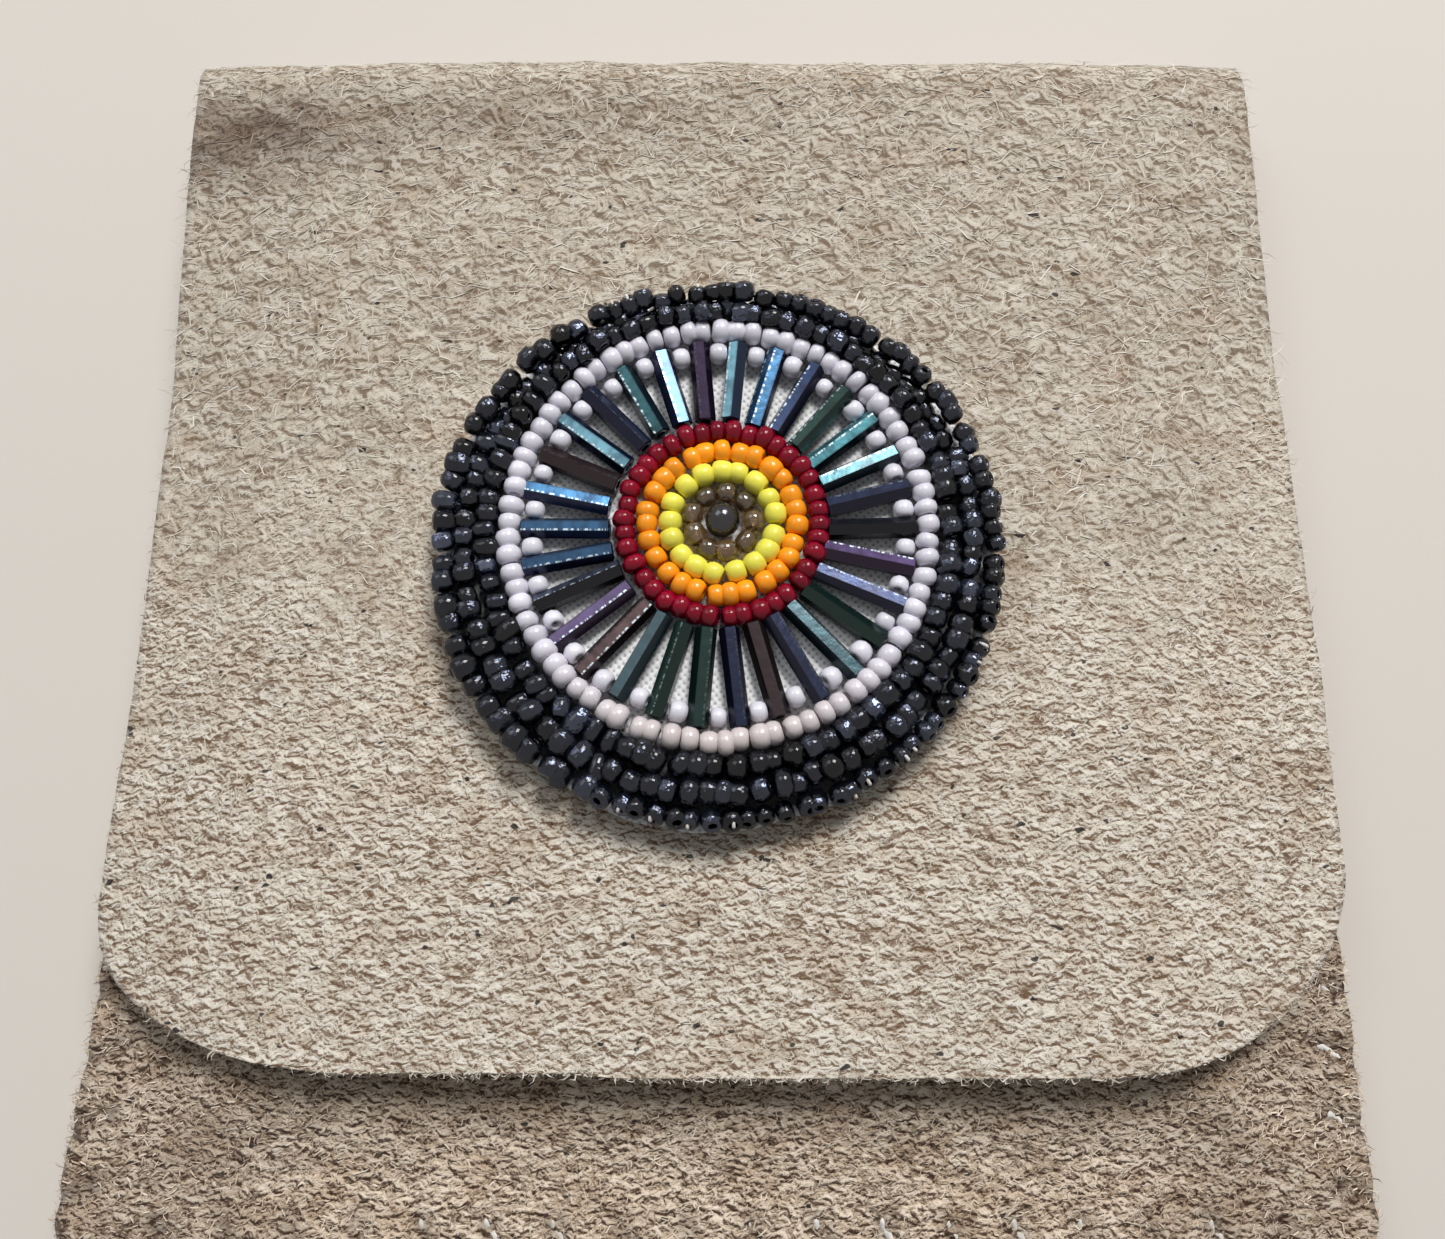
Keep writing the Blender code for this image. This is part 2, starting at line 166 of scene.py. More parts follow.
def lattice(x, y, seed):
    """Value noise: a random number, -1 to 1, at each whole point of the plane, joined by smooth steps."""
    table = np.random.default_rng(seed).uniform(-1.0, 1.0, (256, 256))
    column, row = np.floor(x).astype(int), np.floor(y).astype(int)
    u, v = smooth(x - column), smooth(y - row)
    next_row, next_column = (row + 1) % 256, (column + 1) % 256
    low = between(table[row % 256, column % 256], table[row % 256, next_column], u)
    high = between(table[next_row, column % 256], table[next_row, next_column], u)
    return between(low, high, v)


def unevenness(x, y, seed):
    """Relief of hand-cut suede in millimetres: long soft waves, then short ridges that run mostly across."""
    soft = 0.16 * lattice(x / 17.0, y / 13.0, seed) + 0.08 * lattice(x / 6.0, y / 4.5, seed + 1)
    ridges = 0.075 * lattice(x / 2.6, y / 1.3, seed + 2)
    ridges = ridges + 0.06 * lattice(x / 1.4 + y / 3.0, y / 0.9, seed + 3)
    return soft + ridges


def in_scene(name, data):
    """A new object of the scene that shows the data."""
    thing = bpy.data.objects.new(name, data)
    bpy.context.scene.collection.objects.link(thing)
    return thing


def mesh_object(name, points, quads, triangles=(), smooth_faces=True):
    """A mesh object at the origin, from points in millimetres and faces with four and with three corners."""
    triangles = np.reshape(triangles, (-1, 3))
    corners = np.concatenate([triangles.ravel(), quads.ravel()]).astype(np.int32)
    starts = np.concatenate([np.arange(len(triangles)) * 3, triangles.size + np.arange(len(quads)) * 4])
    mesh = bpy.data.meshes.new(name)
    mesh.vertices.add(len(points))
    mesh.vertices.foreach_set("co", (points * MM).astype(np.float32).ravel())
    mesh.loops.add(len(corners))
    mesh.loops.foreach_set("vertex_index", corners)
    mesh.polygons.add(len(starts))
    mesh.polygons.foreach_set("loop_start", starts.astype(np.int32))
    mesh.polygons.foreach_set("use_smooth", np.full(len(starts), smooth_faces))
    mesh.update(calc_edges=True)
    return in_scene(name, mesh)


def tiled(name, points, faces, per, count, smooth_faces=True):
    """Shapes of per points each, from the faces of the first, where a triangle has its last corner twice."""
    whole = faces[:, 2] != faces[:, 3]
    shift = (np.arange(count) * per)[:, None, None]
    quads = (faces[whole] + shift).reshape(-1, 4)
    triangles = (faces[~whole, :3] + shift).reshape(-1, 3)
    return mesh_object(name, np.reshape(points, (-1, 3)), quads, triangles, smooth_faces)


def point_values(thing, name, values):
    """A number at each vertex, which a material reads by name."""
    attribute = thing.data.attributes.new(name, "FLOAT", "POINT")
    attribute.data.foreach_set("value", np.asarray(values, np.float32))


def point_colours(thing, name, colours):
    """A colour at each vertex, which a material reads by name, in place of an earlier one."""
    attributes = thing.data.attributes
    attribute = attributes.get(name) or attributes.new(name, "FLOAT_COLOR", "POINT")
    rgba = np.ones((len(colours), 4), np.float32)
    rgba[:, :3] = colours
    attribute.data.foreach_set("color", rgba.ravel())


def settle(thing, finish, body, slot, *nodes):
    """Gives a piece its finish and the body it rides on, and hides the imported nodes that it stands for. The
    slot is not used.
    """
    thing.data.materials.append(finish)
    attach(thing, body)
    if nodes:
        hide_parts(*nodes)


def srgb(red, green, blue):
    """Linear colour of an sRGB colour given from 0 to 255."""
    share = np.array([red, green, blue]) / 255.0
    return np.where(share <= 0.04045, share / 12.92, ((share + 0.055) / 1.055) ** 2.4)


def xyz(x, y, z):
    """Points or directions from their three parts, each an array or one number for all."""
    return np.stack(np.broadcast_arrays(x, y, z), axis=-1)


def unit(vectors):
    """Vectors scaled to length 1."""
    return vectors / np.maximum(np.linalg.norm(vectors, axis=-1, keepdims=True), 1e-9)


def run_along(path):
    """Length of a path from its start to each of its points."""
    return np.concatenate([[0.0], np.cumsum(np.linalg.norm(np.diff(path, axis=0), axis=-1))])


def normals_of(grid):
    """Surface normal at each point of a grid: the cross product of its steps across and along."""
    return unit(np.cross(np.gradient(grid, axis=1), np.gradient(grid, axis=0)))


def hide_shell(name, middle, relief, inner_relief, rim_steps=3):
    """Closed hide round a grid of middle points. Each face lies half a thickness off along the normal plus
    its own relief, and the cut edge between them bulges a little and is rough."""
    rows, columns = middle.shape[:2]
    count = rows * columns
    normal = normals_of(middle)
    outer = middle + normal * (HIDE / 2 + relief)[..., None]
    inner = middle - normal * (HIDE / 2 + inner_relief)[..., None]
    index = np.arange(count).reshape(rows, columns)
    face = np.stack([index[:-1, :-1], index[:-1, 1:], index[1:, 1:], index[1:, :-1]], axis=-1)
    ring = np.concatenate([index[0, :-1], index[:-1, -1], index[-1, :0:-1], index[:0:-1, 0]])
    over, under = outer.reshape(-1, 3)[ring], inner.reshape(-1, 3)[ring]
    side = unit(np.cross(over - np.roll(over, 1, axis=0), normal.reshape(-1, 3)[ring]))
    points, loops = [outer.reshape(-1, 3), inner.reshape(-1, 3)], [ring]
    for step in range(1, rim_steps + 1):
        share = step / (rim_steps + 1)
        rough = 0.10 * np.sin(math.pi * share) + 0.07 * lattice(ring * 0.37, ring * 0.11 + 9.7 * step, 77)
        points.append(between(over, under, share) + side * rough[:, None])
        loops.append(2 * count + (step - 1) * len(ring) + np.arange(len(ring)))
    loops.append(ring + count)
    quads = [face.reshape(-1, 4), face[..., [0, 3, 2, 1]].reshape(-1, 4) + count]
    for here, there in zip(loops[:-1], loops[1:]):
        quads.append(np.stack([here, there, np.roll(there, -1), np.roll(here, -1)], axis=-1))
    return mesh_object(name, np.concatenate(points), np.concatenate(quads)), outer, normal


def outline_place(across, y, end, sides, corners):
    """X of a hand-cut outline at share across, 0 to 1, with a slight wander of the knife. Sides and corners
    have the left one first."""
    x_left = KNIFE_WANDER * lattice(y / 9.0, y * 0.0 + 3.3, 21) - half_width(y, end, sides[0], corners[0])
    x_right = KNIFE_WANDER * lattice(y / 7.0, y * 0.0 + 8.1, 22) + half_width(y, end, sides[1], corners[1])
    return x_left + (x_right - x_left) * across


def pouch_rows(across, heights, surface):
    """A layer of the pouch as a grid: a row of points across it at each of the heights along Y."""
    y = heights[:, None] + 0.0 * across
    x = outline_place(across, y, BOTTOM, (left_at(y), half_at(y)), (CORNER_POUCH, CORNER_POUCH))
    return xyz(x, y, surface(x, y))


# Steps along the hide, in millimetres: fine where it shows, coarser under the pouch
SHOWN_STEP = 0.58
BACK_STEP = 1.7
HIDE_COLUMNS, FRONT_COLUMNS = 150, 140
QUARTER = math.pi / 2


def hide_middle(columns):
    """The one hide as a grid: row by row from the flap's end up to the fold, round it and down the back."""
    across = np.linspace(0.0, 1.0, columns)
    corners = CORNER_LEFT, CORNER_RIGHT
    rounding = FLAP_END + CORNER_LEFT[1] * (1.0 - np.cos(np.linspace(0.0, QUARTER, 14)[:-1]))
    straight = np.arange(FLAP_END + CORNER_LEFT[1], BACK_TOP - 0.2, SHOWN_STEP)
    y = np.concatenate([rounding, straight])[:, None] + 0.0 * across
    x = outline_place(across, y, FLAP_END, (left_at(y) - SHORT_LEFT, half_at(y) - SHORT_RIGHT), corners)
    step = 0.35 * smooth((-15.0 - (across * 97.0 - 48.5)) / 3.0) * smooth((FLAP_END + 6.0 - y) / 6.0)
    flap = xyz(x, y + step, flap_height(x, y))

    turn = np.linspace(QUARTER, -QUARTER, 26)[:, None]
    y = BACK_TOP + 0.0 * (turn + across)
    over = 0.5 + turn / math.pi
    sides = half_at(y) - SHORT_LEFT * over, half_at(y) - SHORT_RIGHT * over
    x = outline_place(across, y, FLAP_END, sides, corners)
    low, high = back_height(x, y), flap_height(x, y)
    z = (low + high) / 2 + (high - low) / 2 * np.sin(turn)
    fold = xyz(x, y + FOLD_REACH * np.cos(turn), z)

    down = np.linspace(BACK_TOP, BOTTOM + CORNER_POUCH[1], int(POUCH_LENGTH / BACK_STEP))[1:]
    end = BOTTOM + CORNER_POUCH[1] * (1.0 - np.sin(np.linspace(0.0, QUARTER, 6)[1:]))
    return np.concatenate([flap, fold, pouch_rows(across, np.concatenate([down, end]), back_height)])


def front_middle(columns):
    """The front panel as a grid, from its bottom edge up to the mouth."""
    end = BOTTOM + CORNER_POUCH[1] * (1.0 - np.cos(np.linspace(0.0, QUARTER, 7)[:-1]))
    shown = np.arange(BOTTOM + CORNER_POUCH[1], FLAP_END + 8.0, SHOWN_STEP)
    hidden = np.linspace(FLAP_END + 8.0, MOUTH, 70)
    return pouch_rows(np.linspace(0.0, 1.0, columns), np.concatenate([end, shown, hidden]), front_height)


# Nodes of the materials


class Finish:
    """A node material being built: each call adds one node and returns its output."""

    def __init__(self, name):
        self.material = bpy.data.materials.new(name)
        self.material.use_nodes = True
        self.tree = self.material.node_tree
        self.shader = self.tree.nodes["Principled BSDF"]
        self.object = self.tree.nodes.new("ShaderNodeTexCoord").outputs["Object"]

    def feed(self, socket, value):
        """A link where value is an output, else a number or colour set on the socket."""
        if isinstance(value, bpy.types.NodeSocket):
            self.tree.links.new(value, socket)
        else:
            socket.default_value = value

    def node(self, kind, sockets, **values):
        """A node with its own values set first, and then its sockets, given by name or number."""
        made = self.tree.nodes.new(kind)
        for key, value in values.items():
            setattr(made, key, value)
        for key, value in sockets.items():
            self.feed(made.inputs[key], value)
        return made

    def parts(self, vector):
        """The parts X, Y and Z of a vector, by name."""
        return self.node("ShaderNodeSeparateXYZ", {"Vector": vector}).outputs

    def place(self, scale, turn=0.0, shift=0.0):
        """Object coordinates in steps of 1 / scale metres, turned about Z and shifted by steps along Y."""
        sockets = {"Scale": np.ones(3) * scale, "Rotation": (0.0, 0.0, turn), "Location": (0.0, shift, 0.0)}
        return self.node("ShaderNodeMapping", {"Vector": self.object, **sockets}).outputs["Vector"]

    def noise(self, scale, detail=4.0, rough=0.55, warp=0.0, turn=0.0, shift=0.0):
        """Noise with features of 1 / scale metres, where scale is one number or three, along X, Y and Z."""
        sockets = {"Vector": self.place(scale, turn, shift), "Scale": 1.0, "Detail": detail}
        sockets.update({"Roughness": rough, "Distortion": warp})
        return self.node("ShaderNodeTexNoise", sockets).outputs["Fac"]

    def rounded(self, share):
        """A normal between that of the flat face, at 0, and that of the smooth surface, at 1."""
        faces = self.node("ShaderNodeNewGeometry", {}).outputs
        sockets = {"Factor": share, 4: faces["True Normal"], 5: faces["Normal"]}
        mixed = self.node("ShaderNodeMix", sockets, data_type="VECTOR").outputs[1]
        return self.node("ShaderNodeVectorMath", {0: mixed}, operation="NORMALIZE").outputs[0]

    def attribute(self, name, output="Fac"):
        return self.node("ShaderNodeAttribute", {}, attribute_name=name).outputs[output]

    def math(self, operation, first, second=0.0, clamp=False):
        made = self.node("ShaderNodeMath", {0: first, 1: second}, operation=operation, use_clamp=clamp)
        return made.outputs[0]

    def plus(self, first, second):
        return self.math("ADD", first, second)

    def minus(self, first, second):
        return self.math("SUBTRACT", first, second)

    def times(self, first, second, clamp=False):
        return self.math("MULTIPLY", first, second, clamp)

    def spread(self, value, low, high, to_low=0.0, to_high=1.0):
        """A smooth step from to_low, where value is low, to to_high, where it is high."""
        sockets = {"Value": value, "From Min": low, "From Max": high, "To Min": to_low, "To Max": to_high}
        return self.node("ShaderNodeMapRange", sockets, interpolation_type="SMOOTHSTEP").outputs["Result"]

    def mix(self, share, first, second, kind="MIX"):
        """The first colour with the second laid over it, or multiplied into it, as far as share says."""
        made = self.node("ShaderNodeMix", {"Factor": share}, data_type="RGBA", blend_type=kind)
        colour_inputs = [s for s in made.inputs if s.type == "RGBA"]
        for socket, value in zip(colour_inputs, (first, second)):
            self.feed(socket, value if isinstance(value, bpy.types.NodeSocket) else (*value, 1.0))
        return next(s for s in made.outputs if s.type == "RGBA")

    def bump(self, height, distance, strength=1.0, onto=None):
        sockets = {"Strength": strength, "Distance": distance, "Height": height}
        if onto is not None:
            sockets["Normal"] = onto
        return self.node("ShaderNodeBump", sockets).outputs["Normal"]

    def finish(self, **inputs):
        """Sets the shader's sockets by name, with _ for a space, and returns the material."""
        for key, value in inputs.items():
            self.feed(self.shader.inputs[key.replace("_", " ")], value)
        return self.material


# Finishes

PALE_FIBRE, GREIGE, PIT = srgb(230, 223, 211), srgb(204, 194, 178), srgb(116, 90, 68)
TAN_FIBRE, TAN, TAN_PIT = srgb(238, 223, 204), srgb(192, 170, 146), srgb(60, 40, 28)
FLAP_BROWN, FRONT_BROWN = srgb(214, 194, 172), srgb(198, 174, 150)
SPECK, UPPER_GREY, STAIN = srgb(36, 34, 36), srgb(228, 226, 223), srgb(146, 130, 124)
THREAD_WHITE, CLOTH_WHITE, CLOTH_SHADE = srgb(232, 229, 224), srgb(246, 246, 247), srgb(46, 44, 46)
# Colour of the painted glints along the edges of the bugles' flats
EDGE_GLINT = (0.70, 0.84, 0.92)


def suede(name, pale, middle, dark, brown, stained=False):
    """Rough flesh side of hide: pale curled fibres over brown pits, in soft clumps towards the fold and in
    short fine ones below. Each clump has painted light on its side towards the fold and painted shade below."""
    f = Finish(name)
    drift = f.times(f.minus(f.noise(90.0, detail=1.0), 0.5), 0.05)
    upper = f.spread(f.plus(f.parts(f.object)["Y"], drift), -0.012, 0.022)

    def blend(low, high):
        sockets = {"Factor": upper, "A": low, "B": high}
        return f.node("ShaderNodeMix", sockets, data_type="FLOAT").outputs["Result"]

    def clumps(shift):
        soft = f.noise((820.0, 980.0, 900.0), detail=4.0, rough=0.60, warp=0.9, turn=0.35, shift=shift)
        short = f.noise((1150.0, 1750.0, 1300.0), detail=3.0, rough=0.62, warp=0.6, turn=0.20, shift=shift)
        return blend(short, soft)

    here, above = clumps(0.0), clumps(0.30)
    hairs = f.noise((1700.0, 3600.0, 2100.0), detail=3.0, rough=0.62, warp=2.2, turn=-0.5)
    patches = f.noise((190.0, 260.0, 220.0), detail=3.0, rough=0.6)
    pits = f.noise((520.0, 760.0, 600.0), detail=3.0, rough=0.65, warp=0.5, shift=7.0)
    specks = f.noise((900.0, 1300.0, 900.0), detail=1.0, rough=0.4)
    grain = f.plus(f.times(here, 0.55), f.times(hairs, 0.45))
    # How far each clump rises towards the fold, for the painted light and shade below
    slope = f.minus(here, above)
    shadow = f.mix(f.times(upper, 0.22), dark, middle)
    body = f.mix(f.spread(grain, 0.37, 0.51), shadow, middle)
    body = f.mix(f.spread(grain, 0.47, 0.60), body, pale)
    # Painted shade on the sides of the clumps that face away from the fold and the lamp, and painted light on
    # those that face them
    body = f.mix(f.spread(slope, -0.11, 0.0, 0.85, 0.0), body, shadow)
    body = f.mix(f.spread(slope, 0.02, 0.14, 0.0, 0.5), body, pale)
    body = f.mix(f.spread(patches, 0.44, 0.68, 0.0, 0.60), body, f.mix(0.75, body, brown, "MULTIPLY"))
    body = f.mix(f.times(f.spread(pits, 0.60, 0.68, 0.0, 0.75), blend(1.0, 0.5)), body, dark)
    body = f.mix(f.spread(specks, 0.735, 0.765, 0.0, 0.9), body, SPECK)
    if stained:
        body = f.mix(f.times(upper, 0.8), body, UPPER_GREY, "MULTIPLY")
        body = f.mix(f.attribute("stain"), body, STAIN, "MULTIPLY")
    # Painted shade in the front's stitch grooves, and a darkening towards its sides, from the depth stored on
    # the hide
    body = f.mix(f.attribute("depth"), body, dark * 0.8)
    raised = f.bump(hairs, 0.00010, 0.45, onto=f.bump(here, 0.00036, 0.75))
    sheen = {"Sheen_Weight": 0.2, "Sheen_Roughness": 0.5, "Specular_IOR_Level": 0.1}
    return f.finish(Base_Color=body, Roughness=0.95, Normal=raised, **sheen)


def fibre_finish(name, pale, middle, dark):
    """Loose fibres of the nap, each of its own tint from dark at 0 to pale at 1."""
    f = Finish(name)
    tint = f.attribute("tint")
    body = f.mix(f.spread(tint, 0.0, 0.5), dark, middle)
    body = f.mix(f.spread(tint, 0.45, 1.0), body, pale)
    if name.startswith("flap"):
        body = f.mix(f.attribute("stain"), body, STAIN, "MULTIPLY")
    sheen = {"Sheen_Weight": 0.25, "Sheen_Roughness": 0.5, "Specular_IOR_Level": 0.1}
    return f.finish(Base_Color=body, Roughness=0.9, **sheen)


def glass_bead(name, roughness, coat=0.0, metal=0.0, through=0.0, cloudy=0.3, veil=0.08, shine=0.5, worn=0.0):
    """A bead of the tint stored on it, a little uneven in colour and surface. Veil is its coat's roughness,
    and worn is how far its cut faces look rounded, 0 to 1."""
    f = Finish(name)
    tint = f.attribute("tint", "Color")
    cloud = f.noise(900.0, detail=2.0)
    body = f.mix(f.spread(cloud, 0.3, 0.7, 0.0, cloudy), tint, f.mix(0.5, tint, (0.0, 0.0, 0.0)))
    ripple = f.noise(1400.0 + 3200.0 * worn, detail=1.0)
    normal = f.bump(ripple, 0.00006 + 0.0004 * worn, 0.5 + worn, onto=f.rounded(worn) if worn else None)
    gloss = {"Coat_Weight": coat, "Coat_Roughness": veil, "Specular_IOR_Level": shine, "IOR": 1.5}
    glass = {"Metallic": metal, "Transmission_Weight": through, **gloss}
    return f.finish(Base_Color=body, Roughness=roughness, Normal=normal, **glass)


def pearl_finish(name):
    """Smooth white bead with a soft deep lustre."""
    f = Finish(name)
    normal = f.bump(f.noise(1100.0, detail=1.0), 0.00005, 0.4)
    glow = {"Subsurface_Weight": 0.15, "Subsurface_Radius": (0.001, 0.0007, 0.0006)}
    coat = {"Coat_Weight": 0.5, "Coat_Roughness": 0.09}
    return f.finish(Base_Color=f.attribute("tint", "Color"), Roughness=0.26, Normal=normal, **glow, **coat)


def iris_finish(name):
    """Six-sided metallic bugle: near black flats, with a cloudy painted reflection in the iris colour over
    those that would reflect the window, and broken painted glints along their edges. U runs along the bead in
    millimetres and V across each flat, and the share of painted reflection is stored on each flat."""
    f = Finish(name)
    dark, painted_reflection_hue = f.attribute("tint", "Color"), f.attribute("painted_reflection_colour", "Color")
    share = f.attribute("flat")
    uv = f.parts(f.node("ShaderNodeUVMap", {}, uv_map="flats").outputs["UV"])
    across = f.math("FRACT", uv["Y"])
    place = f.plus(uv["X"], f.times(f.math("FLOOR", uv["Y"]), 17.3))

    def waves(scale):
        sockets = {"Scale": scale, "Detail": 3.0, "W": place}
        return f.node("ShaderNodeTexNoise", sockets, noise_dimensions="1D").outputs["Fac"]

    slow, quick = waves(0.55), waves(2.3)
    cloud = f.noise(1300.0, detail=2.0)
    # Painted reflection: each flat's stored share, made cloudy, and brightest across the middle of the flat
    level = f.plus(f.times(slow, 1.1), f.times(cloud, 0.7))
    lit = f.times(share, f.spread(level, 0.55, 1.15, 0.35, 1.0), clamp=True)
    middle = f.spread(f.math("ABSOLUTE", f.minus(across, 0.5)), 0.30, 0.50, 1.0, 0.45)
    body = f.mix(f.times(lit, middle), dark, painted_reflection_hue)
    # Painted glints: broken pale lines along the edges of the flats that show the painted reflection
    side = f.math("ABSOLUTE", f.minus(across, f.times(quick, 0.22)))
    line = f.times(f.spread(side, 0.05, 0.12, 1.0, 0.0), f.spread(quick, 0.46, 0.58))
    body = f.mix(f.times(line, f.spread(share, 0.02, 0.34)), body, EDGE_GLINT)
    gloss = {"Roughness": 0.26, "Metallic": 0.6, "Coat_Weight": 0.12, "Coat_Roughness": 0.10}
    return f.finish(Base_Color=body, Normal=f.bump(cloud, 0.00005, 0.5), **gloss)


def cloth_finish(name):
    """Plain weave of white thread, about three threads to the millimetre, a little fuzzy and uneven, and
    darkened by painted shade where the shade stored on it says so."""
    f = Finish(name)
    place = f.parts(f.place(1.0, 0.12))
    drift = f.times(f.noise(500.0, detail=2.0), 2.0)
    warp, weft = (f.math("SINE", f.plus(f.times(place[axis], 1.5 * TAU / MM), drift)) for axis in "XY")
    fuzz = f.noise(3000.0, detail=3.0)
    height = f.plus(f.times(f.times(warp, weft), 0.5), f.times(fuzz, 0.7))
    body = f.mix(f.spread(height, -0.20, 0.45), CLOTH_WHITE * 0.50, CLOTH_WHITE)
    # Painted shade of the black rows, stored on the cloth
    body = f.mix(f.attribute("shade"), body, CLOTH_SHADE)
    normal = f.bump(height, 0.00007, 0.6)
    return f.finish(Base_Color=body, Roughness=0.92, Specular_IOR_Level=0.15, Normal=normal)


def thread_finish(name):
    """Twisted cotton, slightly soiled."""
    f = Finish(name)
    fuzz = f.noise(2600.0, detail=3.0)
    body = f.mix(f.spread(fuzz, 0.3, 0.7), THREAD_WHITE * 0.72, THREAD_WHITE)
    body = f.mix(f.spread(f.noise(300.0, detail=2.0), 0.45, 0.7, 0.0, 0.5), body, TAN)
    normal = f.bump(fuzz, 0.00006, 0.6)
    return f.finish(Base_Color=body, Roughness=0.85, Specular_IOR_Level=0.2, Normal=normal)


# Hide and its nap

NAP_STATIONS = np.array([0.0, 0.3, 0.7, 1.0])
NAP_SIDES = 3
NAP_FLATNESS = 0.3
NAP_WIDTH, FUZZ_WIDTH = 0.11, 0.07
FLAP_FIBRES, FLAP_FUZZ = 14000, 1800
FRONT_FIBRES, FRONT_FUZZ = 10500, 5200


def nap(name, roots, normal, heading, length, width, lift, tint, finish, seed):
    """Loose fibres as flat three-sided slivers, pointed at both ends. Each runs from its root along heading
    for its length, bends sideways by a share of t(1 - t), and stands off the hide by lift times 4t(1 - t)."""
    draw = np.random.default_rng(seed)
    count, t = len(roots), NAP_STATIONS[None, :, None]
    side = unit(np.cross(normal, heading))
    length, lift, hump = length[:, None, None], lift[:, None, None], 4 * t * (1 - t)
    bend = draw.normal(0.0, 0.38, (count, 1, 1)) * length
    wave = draw.normal(0.0, 0.10, (count, 1, 1)) * length
    path = roots[:, None] + heading[:, None] * length * (t - 0.3)
    path = path + side[:, None] * (bend * hump * 0.5 + wave * np.sin(TAU * t))
    path = path + normal[:, None] * (lift * hump - 0.05)
    thick = width[:, None] * np.sqrt(np.clip(np.sin(math.pi * NAP_STATIONS), 0.0, 1.0))
    turn = (TAU * np.arange(NAP_SIDES) / NAP_SIDES)[:, None]
    ring = side[:, None, None] * np.cos(turn) + normal[:, None, None] * np.sin(turn) * NAP_FLATNESS
    rings = path[:, 1:-1, None] + ring * (thick[:, 1:-1, None, None] / 2)
    points = np.concatenate([rings.reshape(count, -1, 3), path[:, :1], path[:, -1:]], axis=1)
    per = points.shape[1]
    faces = tube_faces(len(NAP_STATIONS) - 2, NAP_SIDES)
    thing = tiled(name, points, faces, per, count, smooth_faces=False)
    point_values(thing, "tint", np.repeat(tint, per))
    point_values(thing, "stain", np.repeat(stain_of(roots), per))
    thing.data.materials.append(finish)
    return thing


def picked(grid, row, column):
    """Values of a grid at fractional rows and columns, between its points."""
    r = np.minimum(np.floor(row).astype(int), grid.shape[0] - 2)
    c = np.minimum(np.floor(column).astype(int), grid.shape[1] - 2)
    u, v = (column - c)[:, None], (row - r)[:, None]
    return between(between(grid[r, c], grid[r, c + 1], u), between(grid[r + 1, c], grid[r + 1, c + 1], u), v)


def stain_of(points):
    """How dark the old stain by the flap's upper left corner is, 0 to 1, with a faint tail along the fold."""
    x, y = points[..., 0], points[..., 1]
    spot = 0.8 * np.exp(-(((x + 45.0) / 16.0) ** 2 + ((y - 42.8) / 4.8) ** 2))
    tail = 0.42 * np.exp(-((y - 44.4) / 3.0) ** 2) * smooth((30.0 - x) / 70.0)
    ragged = 1.0 + 0.45 * lattice(x / 1.9, y / 1.2, 5) + 0.25 * lattice(x / 0.8, y / 0.6, 6)
    return np.clip(np.maximum(spot, tail) * ragged, 0.0, 0.9)


def scatter_nap(name, outer, normal, rows, count, finish, seed, long=1.3, stand=0.05):
    """Fibres over the first rows of a hide's face, headed mostly across, in drifts a few millimetres wide."""
    draw = np.random.default_rng(seed)
    row = draw.uniform(0.0, rows, count)
    column = draw.uniform(0.0, outer.shape[1] - 1.001, count)
    roots = picked(outer, row, column)
    x, y = roots[:, 0], roots[:, 1]
    up = unit(picked(normal, row, column))
    across = unit(picked(np.gradient(outer, axis=1), row, column))
    along = np.cross(up, across)
    angle = 0.18 + 0.75 * lattice(x / 3.4, y / 2.8, seed + 1) + draw.normal(0.0, 0.45, count)
    heading = across * np.cos(angle)[:, None] + along * np.sin(angle)[:, None]
    heading *= draw.choice([-1.0, 1.0], count)[:, None]
    curl = 0.62 + 0.75 * smooth((y + 12.0) / 34.0)
    length = long * curl * draw.lognormal(0.0, 0.38, count).clip(0.4, 1.7)
    width = NAP_WIDTH * draw.lognormal(0.0, 0.3, count).clip(0.5, 2.0)
    lift = stand * draw.lognormal(0.0, 0.6, count).clip(0.2, 2.5)
    drift = 0.22 * lattice(x / 5.0, y / 4.0, seed + 2)
    tint = np.clip(0.66 + drift + draw.normal(0.0, 0.20, count), 0.25, 1.0)
    return nap(name, roots, up, heading, length, width, lift, tint, finish, seed + 3)


def edge_fuzz(name, line, outward, normal, count, finish, seed, long):
    """Fibres that stand out from a cut edge, given as a line of points with the way out of the hide."""
    draw = np.random.default_rng(seed)
    place = draw.uniform(0.0, len(line) - 1.001, count)
    index = place.astype(int)
    roots = between(line[index], line[index + 1], (place - index)[:, None])
    out, up = outward[index], normal[index]
    roots = roots - up * draw.uniform(0.0, HIDE, count)[:, None]
    lean = draw.normal(0.0, 0.8, count)[:, None]
    rise = draw.normal(0.0, 0.35, count)[:, None]
    heading = unit(out + unit(np.cross(up, out)) * lean + up * rise)
    length = long * draw.lognormal(0.0, 0.45, count).clip(0.3, 2.2)
    width = FUZZ_WIDTH * draw.lognormal(0.0, 0.3, count).clip(0.5, 2.0)
    tint = np.clip(0.5 + draw.normal(0.0, 0.25, count), 0.0, 1.0)
    return nap(name, roots, up, heading, length, width, np.full(count, 0.06), tint, finish, seed + 1)


def outline_of(outer, normal):
    """Points round three sides of a face, from its first row's end up both sides, with the way out."""
    line = np.concatenate([outer[::-1, 0], outer[0], outer[:, -1]])
    up = np.concatenate([normal[::-1, 0], normal[0], normal[:, -1]])
    return line, unit(np.cross(unit(np.gradient(line, axis=0)), up)), up


